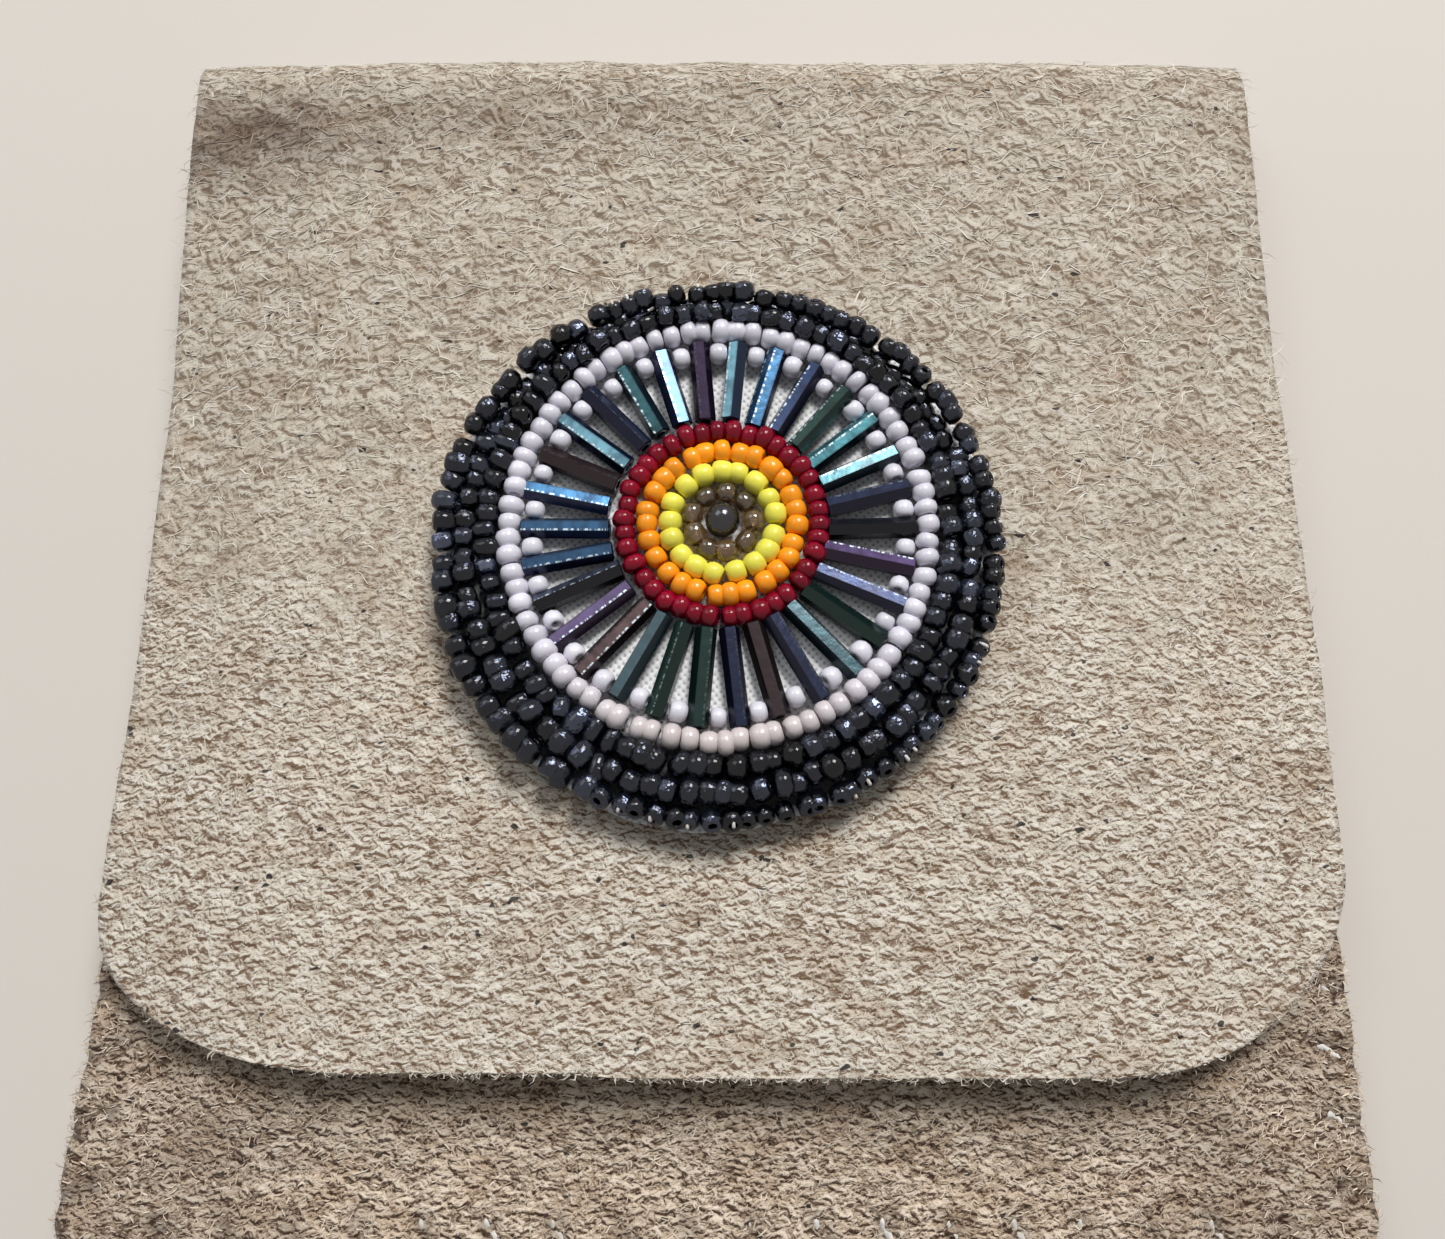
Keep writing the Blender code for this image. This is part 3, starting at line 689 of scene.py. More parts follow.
def seam_holes():
    """Each seam's name, its stitch holes and the way out of the hide there."""

    def places(length):
        count = max(2, round(length / STITCH_PITCH))
        return length * (np.arange(count) + 0.5) / count

    heights = MOUTH - places(MOUTH - BOTTOM - SEAM_INSET)
    across = 2.0 * SEAM_INSET - HALF + places(2.0 * HALF - 4.0 * SEAM_INSET)
    left, right = SEAM_INSET - left_at(heights), half_at(heights) - SEAM_INSET
    low = np.full(len(across), BOTTOM + SEAM_INSET)
    return (
        ("left", np.stack([left, heights], axis=-1), np.array([-1.0, 0.0])),
        ("right", np.stack([right, heights], axis=-1), np.array([1.0, 0.0])),
        ("bottom", np.stack([across, low], axis=-1), np.array([0.0, -1.0])),
    )


def stitch_groove(x, y):
    """How far, in millimetres, the pulled thread sinks the hide at each stitch, from its hole to the edge."""
    depth = np.zeros_like(x)
    for _, holes, out in seam_holes():
        run = np.array([0.0, -1.0]) if out[1] == 0.0 else np.array([1.0, 0.0])
        for hole in holes:
            dx, dy = x - hole[0], y - hole[1]
            outward = dx * out[0] + dy * out[1]
            sideways = dx * run[0] + dy * run[1] - 0.4 * np.clip(outward, 0.0, 3.5)
            reach = smooth((outward + 1.2) / 1.4) * (outward < 6.0)
            depth += 0.5 * np.exp(-((sideways / 0.7) ** 2)) * reach
    return np.minimum(depth, 0.6)


def bend_with_flap(thing):
    """Lets a piece of the one hide bend on the fold, between the pouch and the flap."""
    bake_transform(thing, "pouch", "flap", (0.0, 0.0, 2.8 * MM), (0.0, 0.0, 5.4 * MM))


def dress_back_and_flap():
    """The one hide that is back, fold and flap, bending on the fold, with the nap of its outer face."""
    middle = hide_middle(HIDE_COLUMNS)
    x, y = middle[..., 0], middle[..., 1]
    column = middle.shape[1] // 2
    path = run_along(middle[:, column])
    relief = unevenness(x, path[:, None] + 0.0 * x, 11)
    resting = (path > path[np.argmax(y[:, column])])[:, None]
    relief = np.where(resting, -0.4 * np.abs(relief), relief)
    hide, outer, normal = hide_shell("suede_back_and_flap", middle, relief, 0.4 * np.abs(relief))
    hide.data.materials.append(suede("flap_suede", PALE_FIBRE, GREIGE, PIT, FLAP_BROWN, stained=True))
    stain = np.zeros(len(hide.data.vertices))
    stain[: x.size] = np.where(resting, 0.0, stain_of(outer)).ravel()
    point_values(hide, "stain", stain)
    bend_with_flap(hide)
    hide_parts("back_panel", "flap_fold", "flap")

    rows = int(np.argmax(y[:, column] >= BACK_TOP - 0.2)) + 18
    finish = fibre_finish("flap_fibres", PALE_FIBRE, GREIGE, PIT)
    for part, seed in (("a", 101), ("b", 202)):
        bend_with_flap(scatter_nap(f"flap_nap_{part}", outer, normal, rows, FLAP_FIBRES, finish, seed))
    line, out, up = outline_of(outer[:rows], normal[:rows])
    bend_with_flap(edge_fuzz("flap_edge_fuzz", line, out, up, FLAP_FUZZ, finish, 303, long=0.5))


def dress_front():
    """The front panel, grooved where its stitches pull, with the nap of the stretch that shows."""
    middle = front_middle(FRONT_COLUMNS)
    x, y = middle[..., 0], middle[..., 1]
    relief = 1.2 * unevenness(x, y, 31)
    groove = stitch_groove(x, y)
    front, outer, normal = hide_shell("suede_front", middle, relief - groove, 0.3 * np.abs(relief))
    # Painted shade in the stitch grooves, and a darkening towards the sides, stored as depth
    depth = np.zeros(len(front.data.vertices))
    darkening = 0.26 * smooth((np.abs(x) - 28.0) / 14.0)
    depth[: groove.size] = np.clip(groove * 1.1 + darkening, 0.0, 0.6).ravel()
    point_values(front, "depth", depth)
    finish = suede("pouch_suede", TAN_FIBRE, TAN, TAN_PIT, FRONT_BROWN)
    settle(front, finish, "pouch", "pouch_hide", "front_panel")
    finish = fibre_finish("pouch_fibres", TAN_FIBRE, TAN, TAN_PIT)
    rows = int(np.argmax(y[:, middle.shape[1] // 2] >= FLAP_END + 12.0))
    fibres = scatter_nap("front_nap", outer, normal, rows, FRONT_FIBRES, finish, 404, long=1.2, stand=0.09)
    fuzz = edge_fuzz("front_edge_fuzz", *outline_of(outer, normal), FRONT_FUZZ, finish, 505, long=0.65)
    for thing in (fibres, fuzz):
        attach(thing, "pouch")


# Threads


def rounded_path(points, per_span):
    """A smooth line through points: between each two, the Catmull-Rom cubic of those and their neighbours."""
    before = np.concatenate([[2 * points[0] - points[1]], points[:-1]])
    after = np.concatenate([points[1:], [2 * points[-1] - points[-2]]])
    slope = (after - before) / 2
    t = np.linspace(0.0, 1.0, per_span, endpoint=False)[None, :, None]
    p0, p1, m0, m1 = (a[:, None] for a in (points[:-1], points[1:], slope[:-1], slope[1:]))
    spans = (2 * t**3 - 3 * t**2 + 1) * p0 + (t**3 - 2 * t**2 + t) * m0 + (3 * t**2 - 2 * t**3) * p1
    spans = spans + (t**3 - t**2) * m1
    return np.concatenate([spans.reshape(-1, 3), points[-1:]])


def tube_faces(length, sides):
    """Faces of length rings of points, each joined to the next, with a fan to a middle point at both ends."""
    index = np.arange(length * sides).reshape(length, sides)
    after = np.roll(index, -1, axis=1)
    quads = np.stack([index[:-1], after[:-1], after[1:], index[1:]], axis=-1).reshape(-1, 4)
    ends = np.full(sides, index.size)
    low = np.stack([ends, after[0], index[0], index[0]], axis=-1)
    high = np.stack([ends + 1, index[-1], after[-1], after[-1]], axis=-1)
    return np.concatenate([quads, low, high])


def tube(name, path, radius, sides, plies=0, twist=1.0):
    """A closed tube along a path. With plies, its radius swells plies times a turn and the swelling winds
    once round in each twist of length."""
    tangent = unit(np.gradient(path, axis=0))
    first = unit(np.cross(tangent, np.array([0.31, 0.57, 0.76])))
    second = np.cross(tangent, first)
    run = run_along(path)
    turn = TAU * np.arange(sides) / sides
    swell = 1.0 + (0.13 * np.cos(plies * turn - TAU * plies * run[:, None] / twist) if plies else 0.0)
    ring = first[:, None] * np.cos(turn)[:, None] + second[:, None] * np.sin(turn)[:, None]
    rings = path[:, None] + ring * (radius * swell * np.ones((len(path), sides)))[..., None]
    points = np.concatenate([rings.reshape(-1, 3), path[:1], path[-1:]])
    return tiled(name, points, tube_faces(len(path), sides), len(points), 1)


def dress_seams():
    """Twisted thread whipped round the edge, pulled so far into the hide that it shows only at the edge."""
    finish = thread_finish("sewing_thread")
    draw = np.random.default_rng(61)
    face = FRONT_EDGE_MID + HIDE / 2
    low = SEAM_LIFT - THREAD * 0.4
    for side, holes, out in seam_holes():
        step = np.diff(holes, axis=0, append=2 * holes[-1:] - holes[-2:-1])
        step = step / np.linalg.norm(step, axis=-1, keepdims=True) * STITCH_PITCH
        spots = []
        sunk = 0.45 if side == "left" else 0.2
        for hole, ahead, off in zip(holes, step, draw.normal(0.0, 0.15, (len(holes), 3))):
            stray = np.array(off[:2])
            inside = hole + out * 0.7 + ahead * 0.05
            over = hole + out * (SEAM_INSET - 0.75 - sunk) + ahead * 0.22 + stray
            edge = hole + out * (SEAM_INSET + 0.12 - sunk) + ahead * 0.32 + stray
            under = hole + out * (SEAM_INSET - 0.4) + ahead * 0.62 + stray
            spots += [(*hole, low), (*hole, face - 0.9), (*inside, face - 0.8)]
            spots += [(*over, face - 0.62 - sunk + 0.5 * off[2])]
            spots += [(*edge, (face + low) / 2 + 0.5), (*under, low)]
        path = rounded_path(np.array(spots), 9)
        thread = tube(f"whip_stitch_{side}", path, THREAD / 2, 9, plies=3, twist=1.9)
        settle(thread, finish, "pouch", "white_thread", f"seam_thread_{side}")


# Beads: each profile has (along the hole, away from it), as shares of half the length and half the width

SEED_PROFILE = (
    (-0.98, 0.50), (-0.84, 0.76), (-0.46, 0.95), (0.0, 1.0), (0.46, 0.95), (0.84, 0.76), (0.98, 0.50),
    (0.80, 0.32), (-0.80, 0.32),
)
CUT_PROFILE = (
    (-0.98, 0.46), (-0.86, 0.74), (-0.52, 0.94), (0.0, 1.0), (0.52, 0.94), (0.86, 0.74), (0.98, 0.46),
    (0.78, 0.32), (-0.78, 0.32),
)
BALL_PROFILE = tuple((-math.cos(math.radians(a)), math.sin(math.radians(a))) for a in range(16, 165, 12)) + (
    (0.90, 0.26), (-0.90, 0.26),
)
BUGLE_PROFILE = ((-1.0, 0.86), (-0.975, 1.0), (0.975, 1.0), (1.0, 0.86), (0.99, 0.5), (-0.99, 0.5))


def bead_mesh(name, centres, axes, widths, lengths, profile, sides, smooth_faces=True, turns=0.0):
    """Beads of one shape: a closed profile turned about each bead's hole, with its first flat at turns."""
    count, rows = len(centres), len(profile)
    axes = unit(np.asarray(axes, float))
    guide = np.where(np.abs(axes[:, 2:3]) > 0.95, [[1.0, 0.0, 0.0]], [[0.0, 0.0, 1.0]])
    first = unit(np.cross(guide, axes))
    second = np.cross(axes, first)
    along, away = np.array(profile).T[:, :, None, None]
    turn = (TAU * np.arange(sides) / sides + np.broadcast_to(turns, count)[:, None])[..., None]
    round_it = first[:, None] * np.cos(turn) + second[:, None] * np.sin(turn)
    long, wide = lengths[:, None, None, None] / 2, widths[:, None, None, None] / 2
    points = centres[:, None, None] + axes[:, None, None] * along * long + round_it[:, None] * away * wide
    index = np.arange(rows * sides).reshape(rows, sides)
    after = np.roll(index, -1, axis=1)
    corners = [index, after, np.roll(after, -1, axis=0), np.roll(index, -1, axis=0)]
    return tiled(name, points, np.stack(corners, axis=-1).reshape(-1, 4), index.size, count, smooth_faces)


def oval(angle, centre, radii, draw, wobble=0.06):
    """Places at the angles round an oval: X, Y and the way along it, with small slips of hand work."""
    off = draw.normal(0.0, wobble, len(angle))
    radius_x, radius_y = radii
    x = centre[0] + (radius_x + off) * np.cos(angle)
    y = centre[1] + (radius_y + off) * np.sin(angle)
    return x, y, unit(xyz(-radius_x * np.sin(angle), radius_y * np.cos(angle), 0.0))


def tints(thing, colour, count, spread, draw):
    """Stores each bead's colour, a little lighter or darker than the next one's."""
    level = draw.lognormal(0.0, spread, count)[:, None]
    point_colours(thing, "tint", np.repeat(colour * level, len(thing.data.vertices) // count, axis=0))


def seed_ring(name, centre, radii, count, width, length, colour, seed, spread=0.10):
    """A strung ring of round seed beads lying on the cloth, each a little tilted and of its own size."""
    draw = np.random.default_rng(seed)
    angle = TAU * (np.arange(count) + draw.normal(0.0, 0.09, count)) / count + draw.uniform(0.0, 1.0)
    x, y, along = oval(angle, centre, radii, draw)
    widths = width * draw.lognormal(0.0, 0.04, count)
    lengths = length * draw.lognormal(0.0, 0.07, count)
    z = BEAD_BASE + widths / 2 + draw.normal(0.0, 0.05, count)
    axes = along + draw.normal(0.0, 0.10, (count, 3))
    ring = bead_mesh(name, xyz(x, y, z), axes, widths, lengths, SEED_PROFILE, 10)
    tints(ring, colour, count, spread, draw)
    return angle, ring


# The rings of the flower: radius, beads, width, length, colour, seed, spread of the tint, and the look as
# glass_bead takes it: roughness, coat, metal, through, cloudy, veil and shine
FLOWER = {
    "smoky": (2.5, 9, 1.85, 1.7, srgb(156, 128, 88), 71, 0.30, (0.05, 0.6, 0.0, 0.85, 0.7)),
    "yellow": (4.33, 17, 1.98, 1.72, srgb(238, 230, 84), 72, 0.04, (0.32, 0.15, 0.0, 0.0, 0.12, 0.08, 0.3)),
    "orange": (6.13, 27, 1.92, 1.54, srgb(255, 156, 18), 73, 0.06, (0.28, 0.2, 0.0, 0.0, 0.15, 0.08, 0.3)),
    "red": (7.94, 38, 1.90, 1.42, srgb(130, 1, 34), 74, 0.12, (0.16, 0.15, 0.0, 0.0, 0.4, 0.08, 0.15)),
}
CENTRE_BEAD, CENTRE_LIFT, GUNMETAL = 2.95, 1.45, srgb(60, 60, 64)


def dress_flower():
    """Centre bead, smoky beads and the yellow, orange and red rings."""
    spot, size = np.array([[FLOWER_X, FLOWER_Y, BEAD_BASE + CENTRE_LIFT]]), np.array([CENTRE_BEAD])
    ball = bead_mesh("gunmetal_centre_bead", spot, [(0.9, -0.35, 0.1)], size, 0.94 * size, BALL_PROFILE, 24)
    tints(ball, GUNMETAL, 1, 0.0, np.random.default_rng(1))
    gunmetal = glass_bead("gunmetal_lustre", 0.18, coat=0.4, metal=0.85)
    settle(ball, gunmetal, "flap", "gunmetal_glass", "centre_bead")
    for name, (radius, count, width, length, colour, seed, spread, look) in FLOWER.items():
        nodes = [f"smoky_bead_{n + 1}" for n in range(count)] if name == "smoky" else [f"{name}_bead_ring"]
        sizes = (count, width, length, colour, seed, spread)
        _, ring = seed_ring(f"{name}_beads", (FLOWER_X, FLOWER_Y), (radius, radius), *sizes)
        settle(ring, glass_bead(f"{name}_glass_look", *look), "flap", f"{name}_glass", *nodes)


# The colours of the bugles: near black flats, and the hue of the painted reflection on them
IRIS = {
    "sky": (srgb(16, 34, 58), srgb(150, 214, 238)),
    "blue": (srgb(14, 24, 54), srgb(96, 168, 226)),
    "navy": (srgb(14, 16, 40), srgb(70, 112, 180)),
    "teal": (srgb(10, 30, 38), srgb(104, 188, 204)),
    "green": (srgb(14, 36, 34), srgb(64, 118, 106)),
    "plum": (srgb(34, 20, 44), srgb(132, 110, 176)),
    "bronze": (srgb(42, 32, 36), srgb(158, 130, 134)),
    "black": (srgb(14, 14, 22), srgb(136, 146, 176)),
}
# The bugles clockwise from the top: iris colours, and how much painted reflection shows, 0 to 10
BUGLES = (
    ("sky", 10), ("blue", 8), ("navy", 5), ("green", 4), ("teal", 9), ("teal", 5),
    ("navy", 3), ("black", 2), ("plum", 7), ("navy", 3), ("green", 2), ("teal", 2),
    ("navy", 3), ("bronze", 2), ("navy", 3), ("green", 3), ("green", 4), ("teal", 1),
    ("bronze", 7), ("plum", 5), ("black", 7), ("blue", 5), ("blue", 6), ("blue", 9),
    ("bronze", 2), ("sky", 10), ("navy", 3), ("teal", 6), ("blue", 6), ("plum", 2),
)
# Where the bugles start and end, their width and the height of their holes, and the single pearls' place
BUGLE_FROM, BUGLE_TO, BUGLE_WIDTH, BUGLE_LIFT = 8.85, 16.05, 1.74, 0.84
DOT_RADIUS, DOT_WIDTH = 15.2, 1.76
# The closed ring of pearls: its radii along X and Y, beads, width and length
PEARL_RING = ((17.03, 17.46), 77, 2.05, 1.47)
PEARL_WHITE, PEARL_SOILED, DOT_WHITE = srgb(218, 215, 226), srgb(204, 192, 190), srgb(222, 220, 230)
# Halfway between the window lamp and the eye: bugle flats that face it get the painted reflection
GLANCE = unit(np.array([-0.18, 0.42, 0.89]))


def painted_reflection_of(piece, index, length, shown):
    """Stores on a bugle each flat's share of painted reflection, which falls off as it turns from halfway
    between the window and the eye, and its UV: along the bead in millimetres and the flat's number plus
    the share across it."""
    faces = len(piece.data.polygons)
    normals = np.zeros(faces * 3, np.float32)
    piece.data.polygons.foreach_get("normal", normals)
    facing = np.clip((normals.reshape(-1, 3) @ GLANCE - 0.70) / 0.30, 0.0, 1.0)
    share = (facing / max(facing.max(), 0.1)) ** 1.5 * (0.03 + 0.0070 * shown**2)
    flat = piece.data.attributes.new("flat", "FLOAT", "FACE")
    flat.data.foreach_set("value", share.astype(np.float32))
    sides = np.tile(np.arange(6), faces // 6)
    ends = np.array(BUGLE_PROFILE)[:, 0] * length / 2 + 20.0 * index
    low, high = np.repeat(ends, 6), np.repeat(np.roll(ends, -1), 6)
    u = np.stack([low, low, high, high], axis=-1)
    v = np.stack([sides, sides + 0.999, sides + 0.999, sides], axis=-1)
    layer = piece.data.uv_layers.new(name="flats")
    layer.data.foreach_set("uv", np.stack([u, v], axis=-1).astype(np.float32).ravel())


def dress_bugles(draw, angle):
    """Thirty bugles from the red beads to the pearls, each with its own iris colours and painted reflection.
    """
    count = len(BUGLES)
    finish = iris_finish("iris_painted_reflection")
    aim = angle + draw.normal(0.0, 0.022, count)
    heading = unit(xyz(np.cos(aim), np.sin(aim), draw.normal(0.0, 0.012, count)))
    start = BUGLE_FROM + 0.5 * np.sin(angle) + draw.normal(0.0, 0.08, count)
    end = BUGLE_TO + 0.3 * np.abs(np.sin(angle)) + draw.normal(0.0, 0.12, count)
    radius, lengths = (start + end) / 2, end - start
    x, y = ROSETTE_X + radius * np.cos(angle), ROSETTE_Y + radius * np.sin(angle)
    spots = xyz(x, y, BEAD_BASE + BUGLE_LIFT)
    widths = BUGLE_WIDTH * draw.lognormal(0.0, 0.03, count)
    turns = draw.uniform(0.0, TAU / 6, count)
    for index, (name, shown) in enumerate(BUGLES):
        one = slice(index, index + 1)
        node = f"bugle_{index + 1:02d}"
        shape = (spots[one], heading[one], widths[one], lengths[one], BUGLE_PROFILE, 6, False, turns[one])
        piece = bead_mesh(f"ray_{node}", *shape)
        # The near black of each bugle, and the hue of its painted reflection
        for attribute, colour in zip(("tint", "painted_reflection_colour"), IRIS[name]):
            point_colours(piece, attribute, np.tile(colour, (len(piece.data.vertices), 1)))
        painted_reflection_of(piece, index, lengths[index], shown)
        settle(piece, finish, "flap", "iris_glass", node)


def dress_pearls(draw, angle):
    """The single pearls at the given angles, and the closed ring of pearls, soiled towards the bottom."""
    count = len(angle)
    finish = pearl_finish("pearl_lustre")
    radius = DOT_RADIUS + draw.normal(0.0, 0.1, count)
    widths = DOT_WIDTH * draw.lognormal(0.0, 0.05, count)
    x, y = ROSETTE_X + radius * np.cos(angle), ROSETTE_Y + (radius + 0.2) * np.sin(angle)
    spots = xyz(x, y, BEAD_BASE - 0.1 + widths / 2)
    axes = xyz(-np.sin(angle), np.cos(angle), draw.normal(0.0, 0.25, count))
    dots = bead_mesh("pearl_dots", spots, axes, widths, 0.82 * widths, SEED_PROFILE, 10)
    tints(dots, DOT_WHITE, count, 0.04, draw)
    settle(dots, finish, "flap", "pearl_glass")
    angle, ring = seed_ring("pearl_beads", (ROSETTE_X, ROSETTE_Y), *PEARL_RING, PEARL_WHITE, 91)
    darkening = smooth((-np.sin(angle) - 0.5) * 1.6)[:, None]
    colours = between(PEARL_WHITE, PEARL_SOILED, darkening)
    tints(ring, colours, len(angle), 0.04, np.random.default_rng(92))
    settle(ring, finish, "flap", "pearl_glass", "pearl_bead_ring")


def dress_rays():
    """The bugles, and the pearls between and beyond their outer ends."""
    draw = np.random.default_rng(81)
    angle = math.radians(84.0) - TAU * np.arange(len(BUGLES)) / len(BUGLES)
    dress_bugles(draw, angle)
    dress_pearls(draw, angle - TAU / len(BUGLES) / 2)


# The black rows: name, beads and share of the border's width, and that width at the sides, top and bottom
BORDER = (("inner", 80, 1 / 6), ("middle", 86, 3 / 6), ("edging", 92, 5 / 6))
BORDER_SIDE, BORDER_TOP, BORDER_BOTTOM = 5.2, 2.6, 6.0
PEARL_OUT_X, PEARL_OUT_Y = 18.03, 18.46
LANES, LANES_FROM, LANES_TO = 29, math.radians(115.0), math.radians(245.0)
BLACK_LOOK = {"coat": 0.5, "metal": 0.85, "cloudy": 0.5, "veil": 0.04, "shine": 0.3, "worn": 0.25}
BLACK_GLASS = srgb(33, 37, 48)
THREADS_SEEN, EDGING_THREAD = 15, 0.28


def border_angles(count):
    """Angles of a row: on the left all rows share lanes, three beads deep, and elsewhere each is even."""
    lane = LANES_FROM + (LANES_TO - LANES_FROM) * (np.arange(LANES) + 0.5) / LANES
    rest = count - LANES
    others = LANES_TO + (TAU - LANES_TO + LANES_FROM) * (np.arange(rest) + 0.5) / rest
    return np.concatenate([lane, others])


def dress_border():
    """Three rows of cut black beads. They crowd at the top, lie in lanes on the left, and elsewhere the last
    row has its holes turned out and up, with its thread showing in some of them."""
    finish = glass_bead("black_lustre", 0.11, **BLACK_LOOK)
    for row, (name, count, share) in enumerate(BORDER):
        draw = np.random.default_rng(110 + row)
        centre_y = ROSETTE_Y + share * (BORDER_TOP - BORDER_BOTTOM) / 2
        radius_x = PEARL_OUT_X + share * BORDER_SIDE
        radius_y = PEARL_OUT_Y + share * (BORDER_TOP + BORDER_BOTTOM) / 2
        lane = np.arange(count) < LANES
        angle = border_angles(count) + draw.normal(0.0, 0.010, count)
        x, y, along = oval(angle, (ROSETTE_X, centre_y), (radius_x, radius_y), draw, 0.10)
        upward = np.sin(angle)
        band = BORDER_SIDE * (1 - upward**2) + np.where(upward > 0, BORDER_TOP, BORDER_BOTTOM) * upward**2
        deep = np.clip(band / 3 * 1.04, 1.5, 2.0)
        lane_step, other_step = LANES_TO - LANES_FROM, TAU - LANES_TO + LANES_FROM
        pitch = np.where(lane, lane_step / LANES, other_step / (count - LANES)) * radius_x
        out = xyz(np.cos(angle), np.sin(angle), 0.0)
        if name == "edging":
            other_axes, other_widths, other_lengths = out + np.array([0.0, 0.0, 0.8]), 1.28 * pitch, 1.6
        else:
            other_axes, other_widths, other_lengths = along, 1.14 * deep, 1.20 * pitch
        axes = unit(np.where(lane[:, None], out, other_axes) + draw.normal(0.0, 0.20, (count, 3)))
        widths = np.where(lane, 1.20 * pitch, other_widths) * draw.lognormal(0.0, 0.07, count)
        lengths = np.where(lane, 1.1 * deep, other_lengths) * draw.lognormal(0.0, 0.08, count)
        lift = 0.95 * smooth(np.sin(angle) + 0.2) * (row != 1)
        z = BEAD_BASE + widths / 2 + lift + draw.normal(0.0, 0.12, count)
        spots = xyz(x, y, z)
        turns = draw.uniform(0.0, TAU, count)
        beads = bead_mesh(f"black_beads_{name}", spots, axes, widths, lengths, CUT_PROFILE, 8, True, turns)
        tints(beads, BLACK_GLASS, count, 0.60, draw)
        settle(beads, finish, "flap", "black_glass", f"black_bead_row_{name}")
    picks = draw.choice(np.flatnonzero(~lane), THREADS_SEEN, replace=False)
    dress_edging_threads([(spots[i], axes[i], lengths[i], widths[i], out[i]) for i in picks])


def dress_edging_threads(beads):
    """A loop of thread out of the top of each of these beads and back in over its inner side."""
    white = thread_finish("bead_thread")
    for index, (spot, axis, length, width, out) in enumerate(beads):
        top = spot + axis * length * 0.55
        inward = -out * width * 0.75
        low = np.array([0.0, 0.0, -0.9 * width])
        points = [spot, top, top + inward * 0.5 + axis * 0.12]
        points += [top + inward + low * 0.45, spot + inward * 1.15 + low * 0.6]
        loop = tube(f"edging_thread_{index + 1}", rounded_path(np.array(points), 5), EDGING_THREAD / 2, 6)
        settle(loop, white, "flap", "white_thread")


DISC_RADIUS, DISC_SIZE = 22.65, 0.0457
DISC_TOP, DISC_LOW = BEAD_BASE - 0.12, BEAD_BASE - 1.15


def dress_backing():
    """The woven disc under the beads: its rim wanders out past the last row here and there."""
    centre_y = ROSETTE_Y + BORDER[-1][2] * (BORDER_TOP - BORDER_BOTTOM) / 2
    rings, spokes = 44, 220
    angle = TAU * np.arange(spokes) / spokes
    slow, quick = lattice(angle * 5.0, angle * 0.0 + 2.0, 131), lattice(angle * 17.0, angle * 0.0, 132)
    rim = DISC_RADIUS + 0.35 * slow + 0.18 * quick
    out = np.linspace(0.0, 1.0, rings + 1)[1:, None]
    x = ROSETTE_X + out * rim * np.cos(angle)
    y = centre_y + out * rim * np.sin(angle)
    upper = xyz(x, y, DISC_TOP + 0.07 * lattice(x / 1.1, y / 1.1, 133))
    lower = xyz(x, y, DISC_LOW)
    middle = [(ROSETTE_X, centre_y, DISC_LOW), (ROSETTE_X, centre_y, DISC_TOP)]
    points = np.concatenate([lower.reshape(-1, 3), upper[::-1].reshape(-1, 3), middle])
    cloth = tiled("woven_disc", points, tube_faces(2 * rings, spokes), len(points), 1)
    # Painted shade: the cloth beyond the pearls, under the black rows, is darkened all but near its rim
    past_pearls = smooth((np.hypot(x - ROSETTE_X, y - ROSETTE_Y) - 17.6) / 0.6)
    under_rows = past_pearls * smooth((rim * (1.0 - out) - 0.5) / 0.4)
    shade = np.concatenate([np.zeros(x.size), 0.85 * under_rows[::-1].ravel(), np.zeros(2)])
    point_values(cloth, "shade", shade)
    settle(cloth, cloth_finish("woven_cloth"), "flap", "woven_backing", "rosette_backing")


# Camera, floor and light, in metres

CAMERA_TILT = math.radians(13.5)
CAMERA_FAR = 94.3 * MM
CAMERA_AIM = (0.45 * MM, -2.8 * MM, FLAP_HIGH[2] * MM)
LENS, SENSOR = 28.65, 36.0
FLOOR = 1.7
FLOOR_PALE, BACKGROUND = srgb(212, 205, 197), srgb(222, 216, 208)
SKY, SKY_STRENGTH = (0.95, 0.975, 1.0, 1.0), 0.17
# Each lamp: place, size, watts and colour
LAMPS = {
    "key": ((0.28, 0.76, 0.96), 0.44, 15.8, (1.0, 0.99, 0.975)),
    "window": ((-0.60, 0.68, 0.92), 0.60, 3.4, (0.95, 0.98, 1.0)),
}


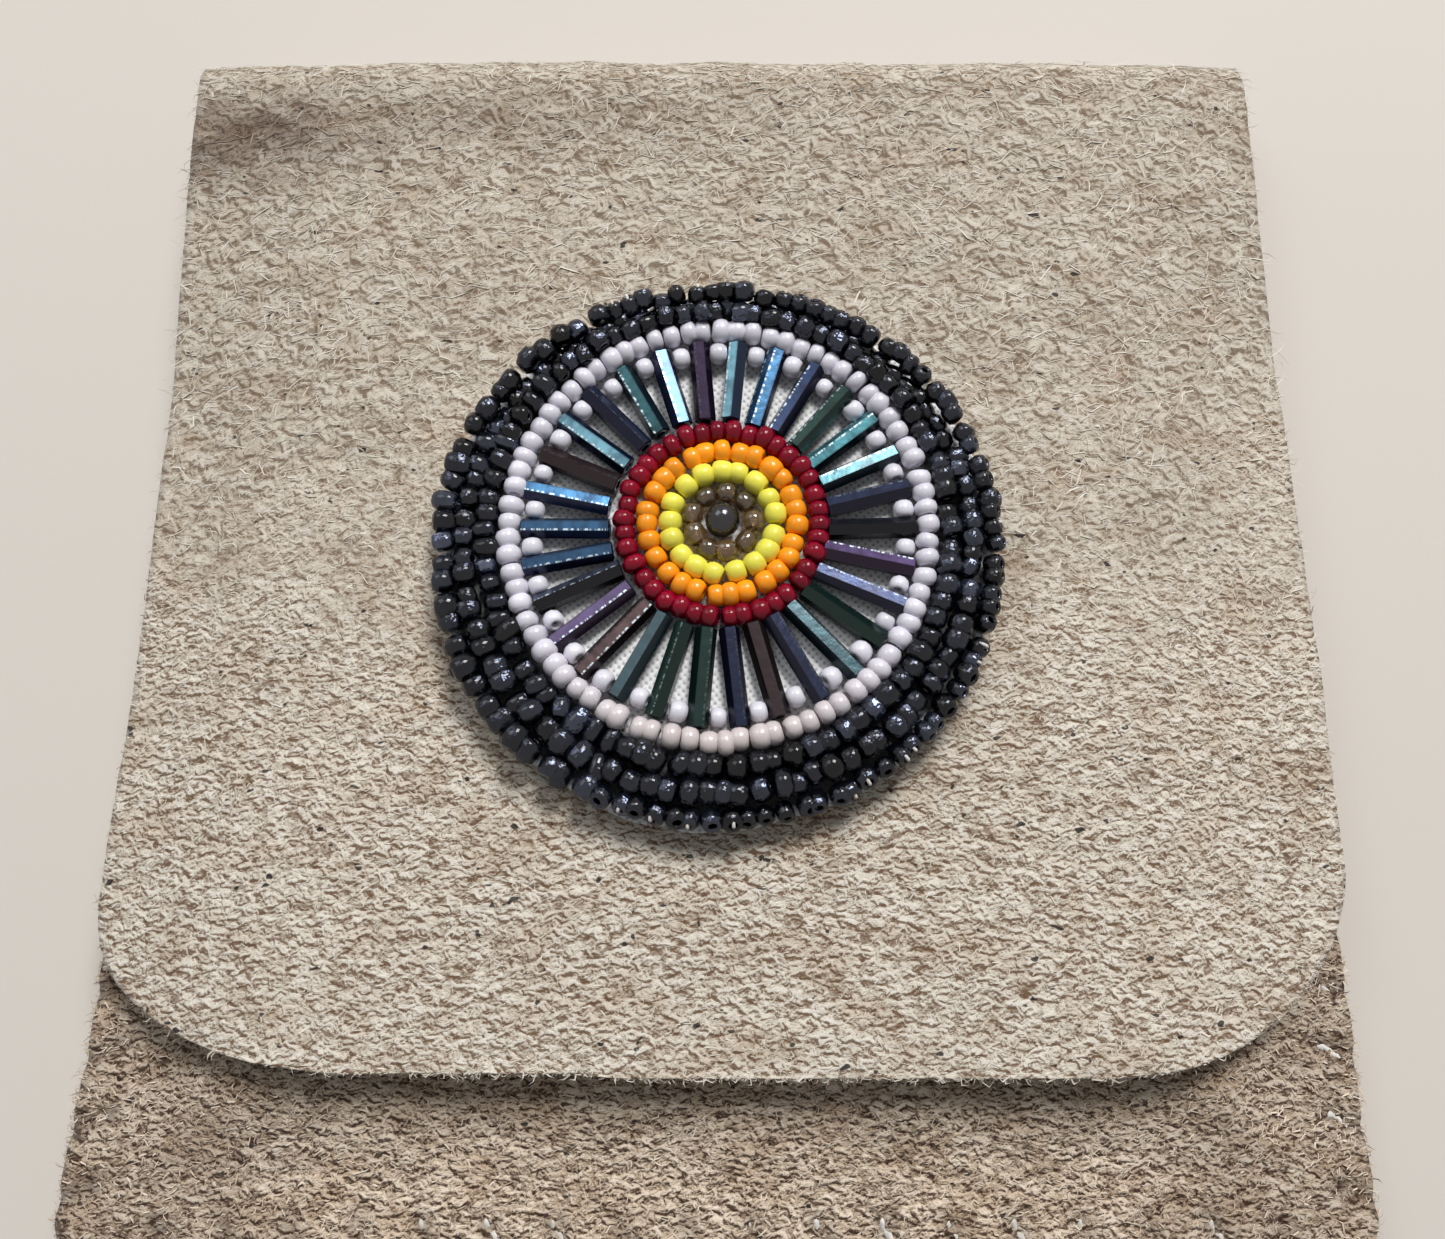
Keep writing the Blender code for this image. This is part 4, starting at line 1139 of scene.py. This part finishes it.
def place_camera():
    """Looks down on the bag, leaning a little towards its fold, from close by."""
    data = bpy.data.cameras.new("camera")
    data.lens, data.sensor_width = LENS, SENSOR
    data.clip_start = 0.001
    camera = in_scene("camera", data)
    x, y, z = CAMERA_AIM
    camera.location = (x, y - CAMERA_FAR * math.sin(CAMERA_TILT), z + CAMERA_FAR * math.cos(CAMERA_TILT))
    camera.rotation_euler = (CAMERA_TILT, 0.0, 0.0)
    bpy.context.scene.camera = camera


def light():
    """Square lamps aimed at the bag, and an even sky, which the camera, metal and glass see as a pale one."""
    for name, (place, size, power, colour) in LAMPS.items():
        data = bpy.data.lights.new(name, "AREA")
        data.size, data.energy, data.color = size, power, colour
        lamp = in_scene(name, data)
        lamp.location = place
        lamp.rotation_euler = (-Vector(place)).to_track_quat("-Z", "Y").to_euler()
    world = bpy.data.worlds.new("sky")
    world.use_nodes = True
    tree = world.node_tree
    sky, seen = tree.nodes["Background"], tree.nodes.new("ShaderNodeBackground")
    paths, either = tree.nodes.new("ShaderNodeLightPath"), tree.nodes.new("ShaderNodeMixShader")
    sky.inputs["Color"].default_value = SKY
    sky.inputs["Strength"].default_value = SKY_STRENGTH
    seen.inputs["Color"].default_value = (*BACKGROUND, 1.0)
    ray = paths.outputs["Is Camera Ray"]
    for name in ("Is Glossy Ray", "Is Transmission Ray"):
        both = tree.nodes.new("ShaderNodeMath")
        both.operation = "MAXIMUM"
        tree.links.new(ray, both.inputs[0])
        tree.links.new(paths.outputs[name], both.inputs[1])
        ray = both.outputs[0]
    for source, target in zip((ray, sky.outputs[0], seen.outputs[0]), either.inputs):
        tree.links.new(source, target)
    tree.links.new(either.outputs[0], tree.nodes["World Output"].inputs["Surface"])
    bpy.context.scene.world = world


def lay_floor():
    """A plain pale floor."""
    bpy.ops.mesh.primitive_plane_add(size=FLOOR, location=(0.0, 0.0, 0.0))
    floor = bpy.context.active_object
    floor.name = "floor"
    look = {"Base_Color": (*FLOOR_PALE, 1.0), "Roughness": 0.7, "Specular_IOR_Level": 0.2}
    floor.data.materials.append(Finish("pale_floor").finish(**look))


bpy.context.scene.view_settings.view_transform = "Standard"
place_camera()
light()
lay_floor()
dress_back_and_flap()
dress_front()
dress_seams()
dress_backing()
dress_flower()
dress_rays()
dress_border()
